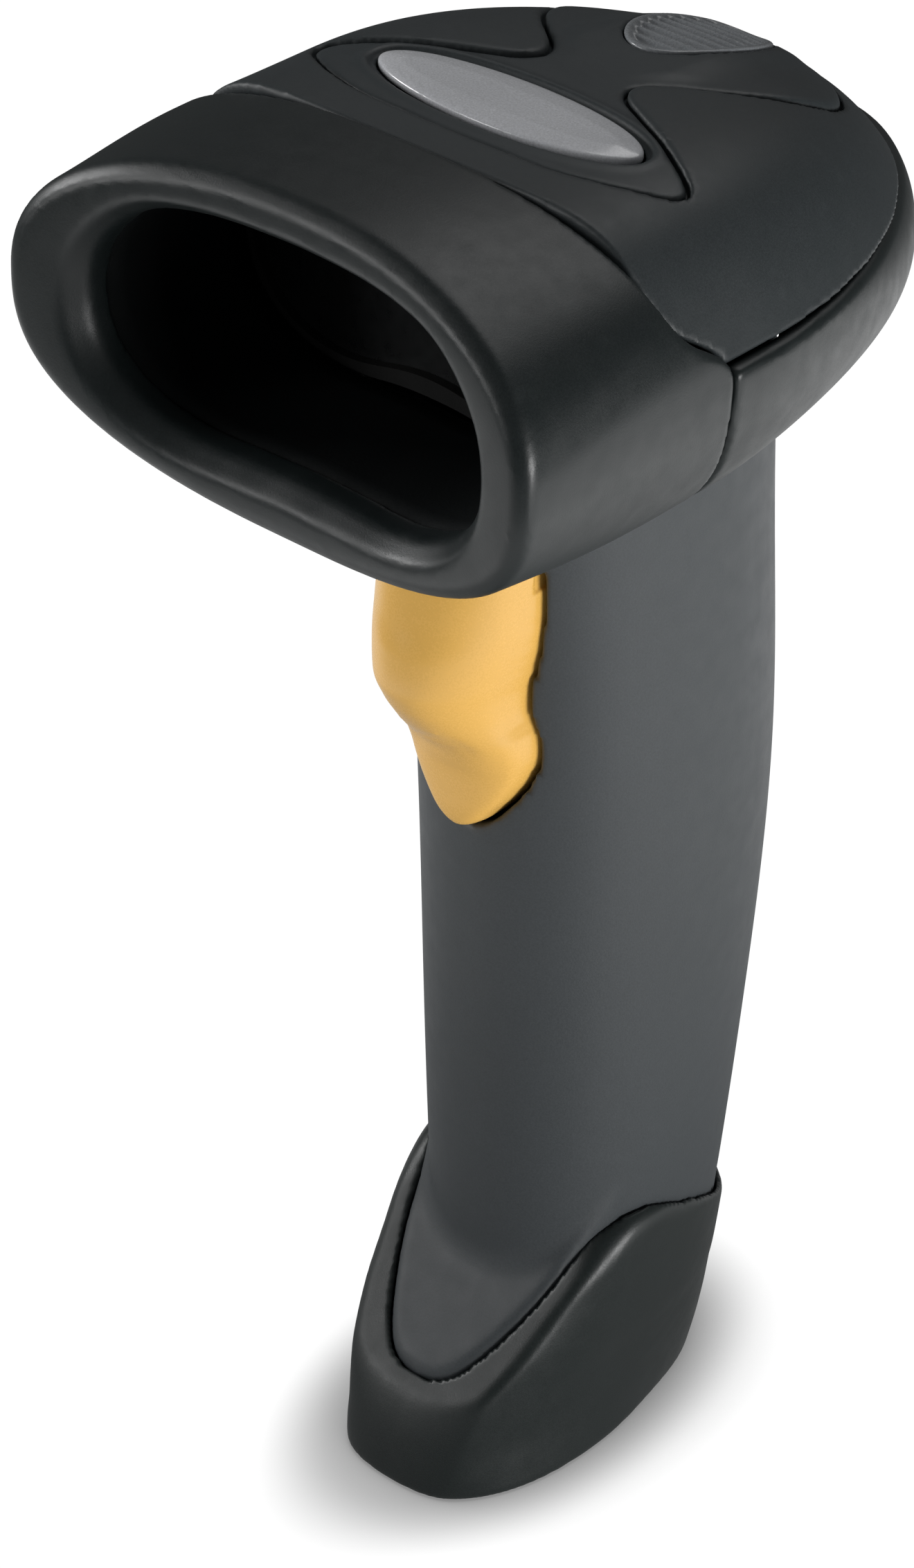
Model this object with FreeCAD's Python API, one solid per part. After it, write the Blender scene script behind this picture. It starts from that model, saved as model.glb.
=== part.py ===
import FreeCAD, Part
import math
import os

# Handheld laser barcode scanner, millimetres: a hollow head on an upright grip, with a trigger,
# a scan engine, circuit boards and a cable socket in the foot.
# Drawing axes: x lateral, y from the tip of the nose backwards, z up from the flat foot.
# Each piece is moved by -DEPTH / 2 in y when it is written: the origin is then midway along the
# depth at foot level, with the nose facing -Y and +Z up.
# Boxes are given as x0, x1, y0, y1, z0, z1.

# ---- driving dimensions ----
HEIGHT = 152.0              # foot to top of the nose
WIDTH = 63.0                # across the nose
DEPTH = 84.0                # nose tip to back of the head
WALL = 2.0                  # wall of the head pieces
COVER_WALL = 1.8            # wall of the top cover
GRIP_WALL = 1.9             # wall of the handle
GRIP_TOP = 119.0            # top of the handle shells
NECK_GAP = 0.25             # clearance around the grip where head and boot surround it
SEAM = 0.30                 # visible gap between mouldings
TOUCH = 0.02                # gap between neighbouring pieces that stand against each other
SEAM_Y, SEAM_Z = 30.0, 136.9    # a point on the seam between top cover and rear band
SEAM_DROP = 0.05            # fall of that seam per millimetre towards the back
PIN_Y, PIN_Z = 31.0, 110.0  # trigger pin
PIN_R = 1.25
PIN_HALF = 9.7              # half the pin's length
PIN_HOLE_R = PIN_R + 0.05   # running clearance in the trigger arms
MIRROR_X, MIRROR_Y = -4.6, 39.6     # vertical axis of the scan mirror
SOCKET_X, SOCKET_Y_SIZE, SOCKET_DEPTH = 11.9, 7.4, 14.0     # opening for the cable plug
SOCKET_Y = 40.0             # centre of that opening
SOCKET_Z = 2.2              # its lower end
BOARD_Y = 47.5              # front face of the main board in the grip
BOARD_BACK = BOARD_Y + 1.6
FOOT_SCREWS_Y = (24.0, 54.0)
BOARD_SCREWS_Z = (36.0, 73.2)

V = FreeCAD.Vector
X_DIR, Y_DIR, Z_DIR = V(1, 0, 0), V(0, 1, 0), V(0, 0, 1)


# ---- helpers ----
def natural_spline(stations, values):
    """Natural cubic spline through the given points, clamped outside the ends."""
    last = len(stations) - 1
    step = [stations[i + 1] - stations[i] for i in range(last)]
    slope = [(values[i + 1] - values[i]) / step[i] for i in range(last)]
    ratio = [0.0] * (last + 1)
    partial = [0.0] * (last + 1)
    for i in range(1, last):
        pivot = 2 * (stations[i + 1] - stations[i - 1]) - step[i - 1] * ratio[i - 1]
        ratio[i] = step[i] / pivot
        partial[i] = (3 * (slope[i] - slope[i - 1]) - step[i - 1] * partial[i - 1]) / pivot
    bend = [0.0] * (last + 1)
    for i in range(last - 1, -1, -1):
        bend[i] = partial[i] - ratio[i] * bend[i + 1]

    def value(station):
        station = min(max(station, stations[0]), stations[-1])
        i = 0
        while i < last - 1 and station > stations[i + 1]:
            i += 1
        t = station - stations[i]
        linear = slope[i] - step[i] * (bend[i + 1] + 2 * bend[i]) / 3
        cubic = (bend[i + 1] - bend[i]) / (3 * step[i])
        return values[i] + linear * t + bend[i] * t * t + cubic * t * t * t

    return value


def signed_power(value, power):
    return math.copysign(abs(value) ** power, value)


def closed_wire(points):
    curve = Part.BSplineCurve()
    curve.interpolate(points, PeriodicFlag=True)
    return Part.Wire([curve.toShape()])


def open_curve(points):
    curve = Part.BSplineCurve()
    curve.interpolate(points)
    return curve.toShape()


def curve_with_back(points, back):
    """Closed wire: a curve across x, two straight sides and a straight back at y = back."""
    first, last = points[0], points[-1]
    sides = Part.makePolygon([last, V(last.x, back, last.z), V(first.x, back, first.z), first])
    return Part.Wire([open_curve(points)] + sides.Edges)


def oval_wire(z, half_width, mid_y, front_reach, back_reach, front_exp, back_exp):
    """Level superellipse whose front and back halves have their own reach and exponent."""
    count = 36
    points = []
    for i in range(count):
        angle = 2 * math.pi * (i + 0.5) / count
        is_back = math.sin(angle) > 0
        reach = back_reach if is_back else front_reach
        power = 2 / (back_exp if is_back else front_exp)
        points.append(V(half_width * signed_power(math.cos(angle), power),
                        mid_y + reach * signed_power(math.sin(angle), power), z))
    return closed_wire(points)


def loft(wires):
    shape = Part.makeLoft(wires, True, False, False, 5)
    # the loft can come back as a bare shell, or inside out
    if shape.ShapeType != "Solid":
        shape = Part.Solid(shape.Shells[0])
    if shape.Volume < 0:
        shape.reverse()
    return shape


def box(x0, x1, y0, y1, z0, z1):
    return Part.makeBox(x1 - x0, y1 - y0, z1 - z0, V(x0, y0, z0))


def cylinder(x, y, z, direction, radius, length):
    return Part.makeCylinder(radius, length, V(x, y, z), direction)


def prism_x(outline, x0, x1):
    """Solid from a closed y-z polygon, drawn along x."""
    wire = Part.makePolygon([V(x0, y, z) for y, z in outline + outline[:1]])
    return Part.Face(wire).extrude(V(x1 - x0, 0, 0))


def behind_curve(curve, corners, half_width):
    """Everything behind a y-z curve drawn along x; the corners close it round the back."""
    rest = Part.makePolygon([V(-half_width, y, z) for y, z in curve[-1:] + corners + curve[:1]])
    edge = open_curve([V(-half_width, y, z) for y, z in curve])
    return Part.Face(Part.Wire([edge] + rest.Edges)).extrude(V(2 * half_width, 0, 0))


def mirrored(half):
    """Closed outline from its +x half, which starts and ends on x = 0."""
    return half + [(-x, other) for x, other in half[-2:0:-1]]


def biggest(shape):
    return max(shape.Solids, key=lambda solid: solid.Volume)


def cross_slotted(screw, start, depth, arm, half_slot, axis):
    """The screw with two crossed slots, cut from the start point along axis 0, 1 or 2."""
    for halves in ((half_slot, arm), (arm, half_slot)):
        reach = list(halves)
        reach.insert(axis, 0.0)
        low = [start[i] - reach[i] for i in range(3)]
        high = [start[i] + reach[i] for i in range(3)]
        high[axis] += depth
        screw = screw.cut(box(low[0], high[0], low[1], high[1], low[2], high[2]))
    return biggest(screw)


# ---- head: rounded in section, wide at the nose, rounded off in plan at the back ----
# Each curve runs over y.
head_half_width = natural_spline([0, 15, 30, 60], [WIDTH / 2, WIDTH / 2, 31.2, 31.2])
head_middle_z = natural_spline([0, 30, 60, 84], [136.1, 137.2, 130.2, 126.0])
head_top_z = natural_spline([0, 20, 30, 60], [HEIGHT, HEIGHT, 151.6, 151.6])
head_bottom_z = natural_spline([0, 20, 45, 84], [118.9, 114.5, 114.8, 115.2])
HEAD_TOP_END = 40           # behind this y the top curve holds its value
REAR_START = 32.2           # where the head's plan starts to round off
HEAD_UPPER_EXP, HEAD_LOWER_EXP, HEAD_PLAN_EXP = 2.32, 2.46, 1.72
HEAD_STATIONS = [-5, 0, 6, 12, 18, 24, 30, 36, 42, 48, 54, 60, 65, 70, 74, 77.5, 80, 81.8, 83.0]

# Front of the nose.
NOSE_Y = 4.3                # y at the middle, at level LEAN_Z
NOSE_BOW = 0.00435          # the sides stand forward of the middle by this times x squared
LEAN = math.tan(math.radians(2.9))      # the front leans back towards the top
LEAN_Z = 135
RIM_DEPTH = 4.2             # solid rim behind the nose front

# Seam behind the nose in side view, top to bottom: y, z.
NOSE_SEAM = [(20.6, 160.0), (20.6, 150.0), (20.9, 146.5), (21.9, 143.2), (24.3, 140.7),
             (26.8, 138.9), (28.2, 137.2), (28.5, 134.0), (28.7, 129.0), (29.6, 123.0),
             (31.0, 117.0), (33.0, 108.0)]

# Mouth opening, a rounded slot. Its +x half from the top round to the bottom: x, z.
MOUTH = [(0, 146.8), (6.4, 146.7), (13.2, 146.1), (17.6, 144.8), (21.0, 142.2), (23.2, 138.9),
         (23.9, 135.1), (23.2, 131.0), (20.9, 127.6), (17.3, 125.2), (12.8, 124.1), (8.0, 124.3),
         (4.0, 124.9), (0, 125.1)]
MOUTH_Z = 135.4             # level the outline grows away from


def head_section(y, inset):
    count = 40
    rear = max(0.0, y - REAR_START) / (DEPTH - REAR_START - inset)
    shrink = max(1.0 - rear ** HEAD_PLAN_EXP, 0.0) ** (1 / HEAD_PLAN_EXP)
    middle = head_middle_z(y)
    half_width = (head_half_width(y) - inset) * shrink
    upper = (head_top_z(min(y, HEAD_TOP_END)) - middle - inset) * shrink
    lower = (middle - head_bottom_z(y) - inset) * shrink
    points = []
    for i in range(count):
        angle = 2 * math.pi * i / count
        cos, sin = math.cos(angle), math.sin(angle)
        power = 2.0 / (HEAD_UPPER_EXP if sin >= 0 else HEAD_LOWER_EXP)
        reach = upper if sin >= 0 else lower
        points.append(V(half_width * signed_power(cos, power), y,
                        middle + reach * signed_power(sin, power)))
    return closed_wire(points)


def head_solid(inset):
    end = DEPTH - inset
    stations = [y for y in HEAD_STATIONS if y < end - 0.7] + [end - 0.55, end - 0.06]
    return loft([head_section(y, inset) for y in stations])


def behind_nose_front(offset):
    low_z, rise = 100, 70
    points = [V(x, NOSE_Y - NOSE_BOW * x * x - LEAN * (LEAN_Z - low_z) + offset, low_z)
              for x in range(-36, 37, 6)]
    return Part.Face(curve_with_back(points, 120)).extrude(V(0, LEAN * rise, rise))


def behind_nose_seam(shift):
    curve = [(y + shift, z) for y, z in NOSE_SEAM]
    return behind_curve(curve, [(130, curve[-1][1]), (130, curve[0][1])], 50)


def cover_seam_z(y):
    return SEAM_Z - SEAM_DROP * (y - SEAM_Y)


def below_cover_seam(rise):
    ends = [(y, cover_seam_z(y) + rise) for y in (-20, 130)]
    return prism_x(ends + [(130, 60), (-20, 60)], -60, 60)


def mouth_outline(grow, y):
    points = []
    for x, z in mirrored(MOUTH):
        radius = math.hypot(x, z - MOUTH_Z)
        scale = (radius + grow) / radius
        new_z = MOUTH_Z + (z - MOUTH_Z) * scale
        points.append(V(x * scale, y + LEAN * (new_z - LEAN_Z), new_z))
    return closed_wire(points)


def mouth_loft(*stations):
    """Loft through mouth outlines; each station is grow, y."""
    return loft([mouth_outline(grow, y) for grow, y in stations])


HEAD_OUTER = head_solid(0.0)
HEAD_INNER = head_solid(WALL)

# ---- grip: upright oval ----
GRIP_Z = [12, 20, 45, 75, 100, 120]
grip_half_x = natural_spline(GRIP_Z, [12.2, 12.7, 13.8, 14.65, 14.6, 14.8])
grip_half_y = natural_spline(GRIP_Z, [15.0, 15.75, 17.95, 19.45, 19.8, 20.2])
grip_middle_y = natural_spline(GRIP_Z, [43.2, 43.8, 45.5, 46.7, 45.7, 44.8])
GRIP_EXP = 2.25


def grip_wire(z, inset):
    reach = grip_half_y(z) - inset
    return oval_wire(z, grip_half_x(z) - inset, grip_middle_y(z), reach, reach,
                     GRIP_EXP, GRIP_EXP)


def grip_solid(inset, z0, z1):
    inner = [z for z in (20, 30, 45, 60, 75, 90, 100, 110) if z0 + 3 < z < z1 - 3]
    return loft([grip_wire(z, inset) for z in [z0] + inner + [z1]])


# ---- boot outline, and the tongue that lies on the sloping face of the toe ----
TOE_SLOPE = 1.036
TOE_Y, TOE_Z = 19.4, 11.9   # tip of the tongue


def slope_z(y):
    return TOE_Z + TOE_SLOPE * (y - TOE_Y)


# Side profile of the boot's top edge: y, z. The first stretch is the sloping face.
BOOT_TOP = [(13.6, slope_z(13.6)), (31.6, slope_z(31.6)), (34.5, 26.9), (38.5, 28.4),
            (42.5, 27.9), (46.5, 25.9), (50.5, 22.9), (56.0, 19.8), (66.0, 18.0)]
# Boot sections: z, front y, back y, half width, y of the widest point, front exponent.
BOOT = [(0.0, 12.8, 57.3, 12.95, 33.6, 2.5), (2.5, 12.85, 59.3, 12.85, 34.3, 2.4),
        (6.0, 12.95, 61.4, 12.8, 35.2, 2.25), (10.0, 13.45, 62.2, 12.95, 35.9, 2.2),
        (15.0, 16.25, 62.3, 13.5, 36.6, 2.2), (20.0, 20.6, 62.2, 13.9, 36.8, 2.2),
        (25.0, 25.0, 62.1, 14.1, 36.8, 2.2), (31.0, 30.5, 62.0, 14.2, 36.8, 2.2)]
BOOT_REAR_EXP = 1.85
BOOT_WALL = 1.7
BOOT_FLOOR = 1.8
BOOT_TOP_WALL = 1.9
# Skirt that follows the grip where the boot is thinnest: z, inset from the grip's skin.
SKIRT = [(0.4, 0.7), (6.0, -0.1), (12.0, -0.75), (20.0, -0.9), (26.0, -0.95), (33.0, -0.95)]
# Tongue in plan: y, half width.
TONGUE = [(TOE_Y, 0.0), (19.6, 2.0), (20.2, 3.7), (21.2, 4.9), (22.5, 6.0), (24.5, 7.3),
          (27.2, 8.8), (30.1, 9.9), (32.4, 10.5), (35.0, 11.0)]


def under_boot_top(rise):
    profile = [(-10, slope_z(-10))] + BOOT_TOP + [(90, 17.0)]
    return prism_x([(y, z + rise) for y, z in profile] + [(90, -30), (-10, -30)], -40, 40)


def boot_wire(row, inset=0.0):
    z, front, back, half_width, widest, front_exp = row
    return oval_wire(z, half_width - inset, widest, widest - front - inset,
                     back - widest - inset, front_exp, BOOT_REAR_EXP)


def make_boot_outer():
    hull = loft([boot_wire(row) for row in BOOT])
    skirt = loft([grip_wire(z, inset) for z, inset in SKIRT])
    return hull.fuse(skirt).common(under_boot_top(0.0))


def make_boot_inner():
    rows = [(BOOT_FLOOR,) + BOOT[0][1:]] + BOOT[1:]
    return loft([boot_wire(row, BOOT_WALL) for row in rows]).common(under_boot_top(-BOOT_TOP_WALL))


def make_tongue_column():
    points = [V(-half, y, 0) for y, half in TONGUE[:0:-1]] + [V(half, y, 0) for y, half in TONGUE]
    wire = Part.Wire([open_curve(points), Part.makeLine(points[-1], points[0])])
    return Part.Face(wire).extrude(V(0, 0, 60))


def make_tongue():
    front, back = 15, 36
    slab = [(front, slope_z(front) + 0.45), (back, slope_z(back) + 0.45),
            (back, slope_z(back) - 1.6), (front, slope_z(front) - 1.6)]
    return TONGUE_COLUMN.common(prism_x(slab, -20, 20))


BOOT_OUTER = make_boot_outer()
TONGUE_COLUMN = make_tongue_column()
GRIP_OUTER = grip_solid(0.0, 12.0, 121.0)
GRIP_INNER = grip_solid(GRIP_WALL, 10.0, 123.0)
GRIP_CLEARANCE = grip_solid(-NECK_GAP, 8.0, 125.0)

# ---- trigger: finger pad hung on a pin under the nose ----
# Pad sections: z, front y at the middle, half width, y of the side edge.
PAD = [(76.0, 25.79, 1.01, 26.64), (77.0, 25.35, 2.66, 26.77), (78.5, 25.04, 3.91, 26.97),
       (80.5, 24.90, 5.35, 27.35), (83.0, 24.65, 6.64, 27.84), (85.0, 23.90, 7.26, 28.10),
       (86.5, 22.99, 7.40, 28.12), (88.0, 21.88, 7.31, 27.99), (89.5, 20.72, 6.93, 27.69),
       (91.0, 19.63, 6.74, 27.50), (93.0, 18.38, 6.84, 27.45), (95.5, 17.43, 7.32, 27.58),
       (98.8, 17.82, 7.88, 27.76), (102.0, 18.65, 8.16, 27.76), (106.0, 19.60, 8.26, 27.57),
       (110.5, 20.64, 8.30, 27.29), (112.5, 21.10, 8.30, 27.15), (114.5, 21.58, 8.30, 27.0)]
# The slot in the grip follows the pad, with its own first and last sections.
SLOT = [(75.2, 25.7, 2.7, 26.6)] + PAD[2:] + [(118.0, 22.3, 8.3, 26.8), (124.0, 23.0, 8.3, 26.8)]
PAD_EXP = 2.2
# Trigger arm in side view: y, z.
ARM = [(22.5, 104.0), (26.5, 98.0), (32.5, 104.0), (33.8, 110.0), (31.0, 112.8), (28.0, 110.5),
       (25.0, 107.5)]
ARM_X, ARM_THICK = 6.2, 1.6


def pad_wire(row, grow, back):
    z, front, half_width, side = row
    front -= grow
    half_width += grow
    steps = 9
    points = []
    for i in range(-steps, steps + 1):
        across = math.sin((math.pi / 2) * i / steps)
        bulge = math.sqrt(max(0.0, 1.0 - abs(across) ** PAD_EXP))
        points.append(V(half_width * across, side - (side - front) * bulge, z))
    return curve_with_back(points, back)


def slot_clearance(z):
    """Clearance round the pad, a little wider near its lower end."""
    return 0.35 + 0.22 * math.exp(-((z - 81.5) / 5.0) ** 2)


TRIGGER_SLOT = loft([pad_wire(row, slot_clearance(row[0]), 37.0) for row in SLOT])


def trigger():
    full = loft([pad_wire(row, 0.0, 34.0) for row in PAD])
    # the core leaves only an outer skin
    rows = [(z, front + 1.8, half_width - 1.7, side + 1.2)
            for z, front, half_width, side in PAD[2:-1]]
    rows.append((115.0, 23.5, 6.6, 28.2))
    core = loft([pad_wire(row, 0.0, 50.0) for row in rows])
    shape = full.cut(core).common(box(-20, 20, 0, 32.5, 70, 113.9))
    arm_outside = ARM_X + ARM_THICK
    shape = shape.cut(box(-20, -arm_outside, 27.6, 40, 104.0, 120))
    shape = shape.cut(box(arm_outside, 20, 27.6, 40, 104.0, 120))
    shape = shape.cut(box(-20, 20, 25.6, 40, 112.9, 120))
    arms = [prism_x(ARM, x, x + ARM_THICK) for x in (-arm_outside, ARM_X)]
    # striker that meets the switch plunger
    striker = box(-2.2, 2.2, 20.7, 35.2, 90.0, 93.6)
    shape = shape.fuse(arms + [striker])
    return biggest(shape.cut(cylinder(-15, PIN_Y, PIN_Z, X_DIR, PIN_HOLE_R, 30)))


def trigger_pivot_pin():
    return cylinder(-PIN_HALF, PIN_Y, PIN_Z, X_DIR, PIN_R, 2 * PIN_HALF)


# ---- handle shells ----
# The rear cover is a narrow inlay down the back of the grip; its parting line sweeps in at the
# foot. Bottom to top: y, z.
PARTING = [(50.4, 18.5), (52.8, 20.6), (56.2, 24.4), (59.3, 30.0), (61.2, 40.0), (62.6, 58.0),
           (63.1, 75.0), (62.8, 98.0), (62.4, 121.0)]
FOOT_POST_Z = 4.1
FOOT_POSTS = tuple(zip(FOOT_SCREWS_Y, (12.2, 8.5)))     # y, height
BOARD_POST_Y = 27.6         # front end of the posts that carry the main board
GRIP_SHELL = GRIP_OUTER.cut(GRIP_INNER).common(box(-40, 40, 0, 90, 5, GRIP_TOP))


def behind_parting(shift):
    curve = [(y + shift, z + shift * 0.5) for y, z in PARTING]
    return behind_curve(curve, [(curve[-1][0], 140), (120, 140), (120, curve[0][1])], 40)


def make_pin_lugs():
    """Two lugs on the inside of the front shell, outboard of the trigger arms."""
    limit = grip_solid(0.1, 100, 121)
    return [box(x, x + 5.2, 28.5, 34.4, 106.8, 113.2).common(limit) for x in (-13.2, 8.0)]


def make_foot_posts():
    front_post, rear_post = [cylinder(0, y, FOOT_POST_Z, Z_DIR, 2.5, height)
                             for y, height in FOOT_POSTS]
    under_slope = prism_x([(10, slope_z(10) + 0.2), (40, slope_z(40) + 0.2), (40, -20),
                           (10, -20)], -20, 20)
    return [front_post.common(under_slope), rear_post]


def handle_front_shell():
    lugs = make_pin_lugs()
    floor = GRIP_OUTER.common(box(-40, 40, 0, 90, 12.0, 13.6))
    floor = floor.cut(box(-8.2, 8.2, SOCKET_Y - 6.0, SOCKET_Y + 6.0, 5, 20))
    board_posts = [cylinder(0, BOARD_POST_Y, z, Y_DIR, 2.1, BOARD_Y - TOUCH - BOARD_POST_Y)
                   for z in BOARD_SCREWS_Z]
    shell = GRIP_SHELL.cut(behind_parting(-SEAM / 2))
    shell = shell.fuse(lugs + [make_tongue(), floor] + make_foot_posts() + board_posts)
    shell = shell.cut(TRIGGER_SLOT)
    # the slot cuts into the lugs, so they are added again
    shell = shell.fuse(lugs)
    pin_end = PIN_HALF + 0.05
    shell = shell.cut(cylinder(-pin_end, PIN_Y, PIN_Z, X_DIR, PIN_R + 0.01, 2 * pin_end))
    for y in FOOT_SCREWS_Y:
        shell = shell.cut(cylinder(0, y, 3.0, Z_DIR, 1.22, 9.0))
    for z in BOARD_SCREWS_Z:
        shell = shell.cut(cylinder(0, BOARD_Y - 7.5, z, Y_DIR, 0.92, 8.0))
    return biggest(shell)


def handle_rear_cover():
    return biggest(GRIP_SHELL.common(behind_parting(SEAM / 2)))


# ---- head shells ----
def nose_bezel():
    zone = behind_nose_front(0.0).cut(behind_nose_seam(-SEAM / 2))
    cavity = HEAD_INNER.common(behind_nose_front(RIM_DEPTH))
    mouth = mouth_loft((1.6, -6.0), (0.9, 0.5), (0.0, 3.2), (0.0, 6.0), (0.0, 12.0))
    nose = HEAD_OUTER.common(zone).cut(cavity).cut(mouth)
    return biggest(nose.cut(GRIP_CLEARANCE))


def rear_band():
    band = HEAD_OUTER.common(behind_nose_seam(SEAM / 2)).common(below_cover_seam(-SEAM / 2))
    return biggest(band.cut(HEAD_INNER).cut(GRIP_CLEARANCE))


# ---- top cover and what is let into its crown ----
COVER_HALF_WIDTH = 30.05
COVER_REAR_Y, COVER_REAR = 32.6, 45.6   # start and length of the rounded rear
COVER_PLAN_EXP, COVER_CROWN_EXP = 1.92, 7.4
cover_height = natural_spline([14, 20, 40, 60, 80], [14.2, 13.9, 13.9, 11.6, 7.5])
COVER_STATIONS = [14, 20, 26, 32, 38, 44, 50, 56, 61, 65, 68.5, 71.5, 74, 76]
# Hour-glass recess in the crown, its +x half from front to back: x, y.
PANEL = [(0, 25.7), (6, 25.8), (12, 26.1), (17, 27.6), (20.4, 29.6), (21.9, 31.4), (21.9, 32.7),
         (20.6, 34.0), (17.5, 35.9), (13.0, 38.5), (8.7, 40.9), (6.2, 42.7), (5.5, 44.2),
         (6.1, 46.0), (9.0, 48.9), (13.0, 53.0), (14.9, 57.5), (14.8, 62.0), (12.9, 65.8),
         (9.6, 68.7), (5.0, 70.4), (0, 71.0)]
BADGE = (33.6, 15.4, 4.7)   # ellipse: centre y, half x, half y
LENS = (60.3, 5.6, 8.6)     # likewise
RECESS_DEPTH = 1.1
INLAY_DEPTH = 1.05          # underside of panel, badge and lens below the cover's skin
COLUMN_Z, COLUMN_HEIGHT = 120, 40       # upright columns that reach through the crown
INDICATOR_Z = 136.35        # underside of the LEDs and of the board's two pegs


def cover_section(y, inset):
    rear = max(0.0, y - COVER_REAR_Y) / (COVER_REAR - inset)
    full_width = COVER_HALF_WIDTH - inset
    half_width = full_width * max(1 - rear ** COVER_PLAN_EXP, 0.0) ** (1 / COVER_PLAN_EXP)
    base = cover_seam_z(y) + SEAM / 2
    height = cover_height(y) - inset
    steps = 16
    points = []
    for i in range(-steps, steps + 1):
        x = half_width * math.sin(math.pi / 2 * i / steps)
        side = (abs(x) / full_width) ** COVER_PLAN_EXP
        # 0 at the middle of the crown, 1 at the rim
        rim = min((side + rear ** COVER_PLAN_EXP) ** (1 / COVER_PLAN_EXP), 1.0)
        points.append(V(x, y, base + height * max(1 - rim ** COVER_CROWN_EXP, 0.0)))
    return Part.Wire([open_curve(points), Part.makeLine(points[-1], points[0])])


def cover_solid(inset):
    end = COVER_REAR_Y + COVER_REAR - inset
    stations = [y for y in COVER_STATIONS if y < end - 0.9] + [end - 0.6, end - 0.12]
    return loft([cover_section(y, inset) for y in stations])


def column(points):
    return Part.Face(closed_wire(points)).extrude(V(0, 0, COLUMN_HEIGHT))


def panel_column(inset):
    # seen from above the outline runs anticlockwise, so its inward side is on the left
    outline = mirrored(PANEL)
    points = []
    for i, (x, y) in enumerate(outline):
        x0, y0 = outline[i - 1]
        x1, y1 = outline[(i + 1) % len(outline)]
        length = math.hypot(x1 - x0, y1 - y0)
        points.append(V(x - (y1 - y0) / length * inset, y + (x1 - x0) / length * inset, COLUMN_Z))
    return column(points)


def ellipse_column(ellipse, grow=0.0):
    middle, half_x, half_y = ellipse
    angles = [2 * math.pi * i / 32 for i in range(32)]
    return column([V((half_x + grow) * math.cos(angle), middle + (half_y + grow) * math.sin(angle),
                     COLUMN_Z) for angle in angles])


COVER_OUTER = cover_solid(0.0)


def cover_raised(rise):
    return COVER_OUTER.translated(V(0, 0, rise))


def inlay(upright, proud):
    """Layer of a column that follows the crown and stands proud of it."""
    return upright.common(cover_raised(proud)).cut(cover_raised(-INLAY_DEPTH))


def top_cover():
    inner = cover_solid(COVER_WALL)
    # the lowered copy opens the underside
    cavity = inner.fuse(inner.translated(V(0, 0, -1.0)))
    cover = COVER_OUTER.cut(cavity).common(behind_nose_seam(SEAM / 2))
    cover = cover.cut(panel_column(0.0).cut(cover_raised(-RECESS_DEPTH)))
    cover = cover.cut(ellipse_column(LENS, -1.2))
    pegs = [cylinder(x, 57.0, INDICATOR_Z, Z_DIR, 1.1, 14).common(cover_raised(-1.3))
            for x in (-5.9, 5.9)]
    return biggest(cover.fuse(pegs))


def cover_panel():
    panel = inlay(panel_column(0.2), 0.15)
    return biggest(panel.cut(ellipse_column(BADGE, 0.15)).cut(ellipse_column(LENS, 0.12)))


def badge_plate():
    return biggest(inlay(ellipse_column(BADGE), 0.35))


def indicator_lens():
    return biggest(inlay(ellipse_column(LENS), 0.2))


# ---- boot and its screws ----
def socket_block(grow, z0, z1):
    """Block over the plug opening, grown sideways all round."""
    half_x, half_y = SOCKET_X / 2 + grow, SOCKET_Y_SIZE / 2 + grow
    return box(-half_x, half_x, SOCKET_Y - half_y, SOCKET_Y + half_y, z0, z1)


def foot_boot():
    boot = BOOT_OUTER.cut(make_boot_inner())
    front, back = 15, 36
    above_slope = prism_x([(front, slope_z(front) - 1.9), (back, slope_z(back) - 1.9),
                           (back, 80), (front, 80)], -20, 20)
    boot = boot.cut(GRIP_CLEARANCE).cut(TONGUE_COLUMN.common(above_slope))
    boot = boot.cut(socket_block(0.6, -5, 5))
    for y in FOOT_SCREWS_Y:
        boot = boot.fuse(cylinder(0, y, 0.6, Z_DIR, 3.4, 3.4).common(BOOT_OUTER))
        boot = boot.cut(cylinder(0, y, -1, Z_DIR, 2.35, 3.3))
        boot = boot.cut(cylinder(0, y, 1, Z_DIR, 1.35, 5))
    return biggest(boot)


def boot_screws():
    screws = []
    for y in FOOT_SCREWS_Y:
        head = cylinder(0, y, 0.9, Z_DIR, 2.1, 1.38)
        screw = head.fuse(cylinder(0, y, 2.2, Z_DIR, 1.2, 9.0))
        screws.append(cross_slotted(screw, (0, y, 0), 1.7, arm=1.4, half_slot=0.28, axis=2))
    return Part.makeCompound(screws)


# ---- mouth liner, gasket and window, front to back ----
def mouth_liner():
    outer = mouth_loft((1.6, 2.0), (1.5, 8.0), (1.2, 12.0), (0.8, 18.0), (0.5, 23.0))
    inner = mouth_loft((0.35, 1.5), (0.3, 7.5), (0.0, 12.0), (-0.4, 18.0), (-0.7, 23.5))
    return biggest(outer.cut(inner).common(behind_nose_front(RIM_DEPTH + 0.15)))


def window_gasket():
    outer = mouth_loft((0.4, 23.35), (0.4, 24.3))
    return biggest(outer.cut(mouth_loft((-1.4, 23.0), (-1.4, 25.0))))


def exit_window():
    return biggest(mouth_loft((0.4, 24.35), (0.4, 25.55)))


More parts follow.
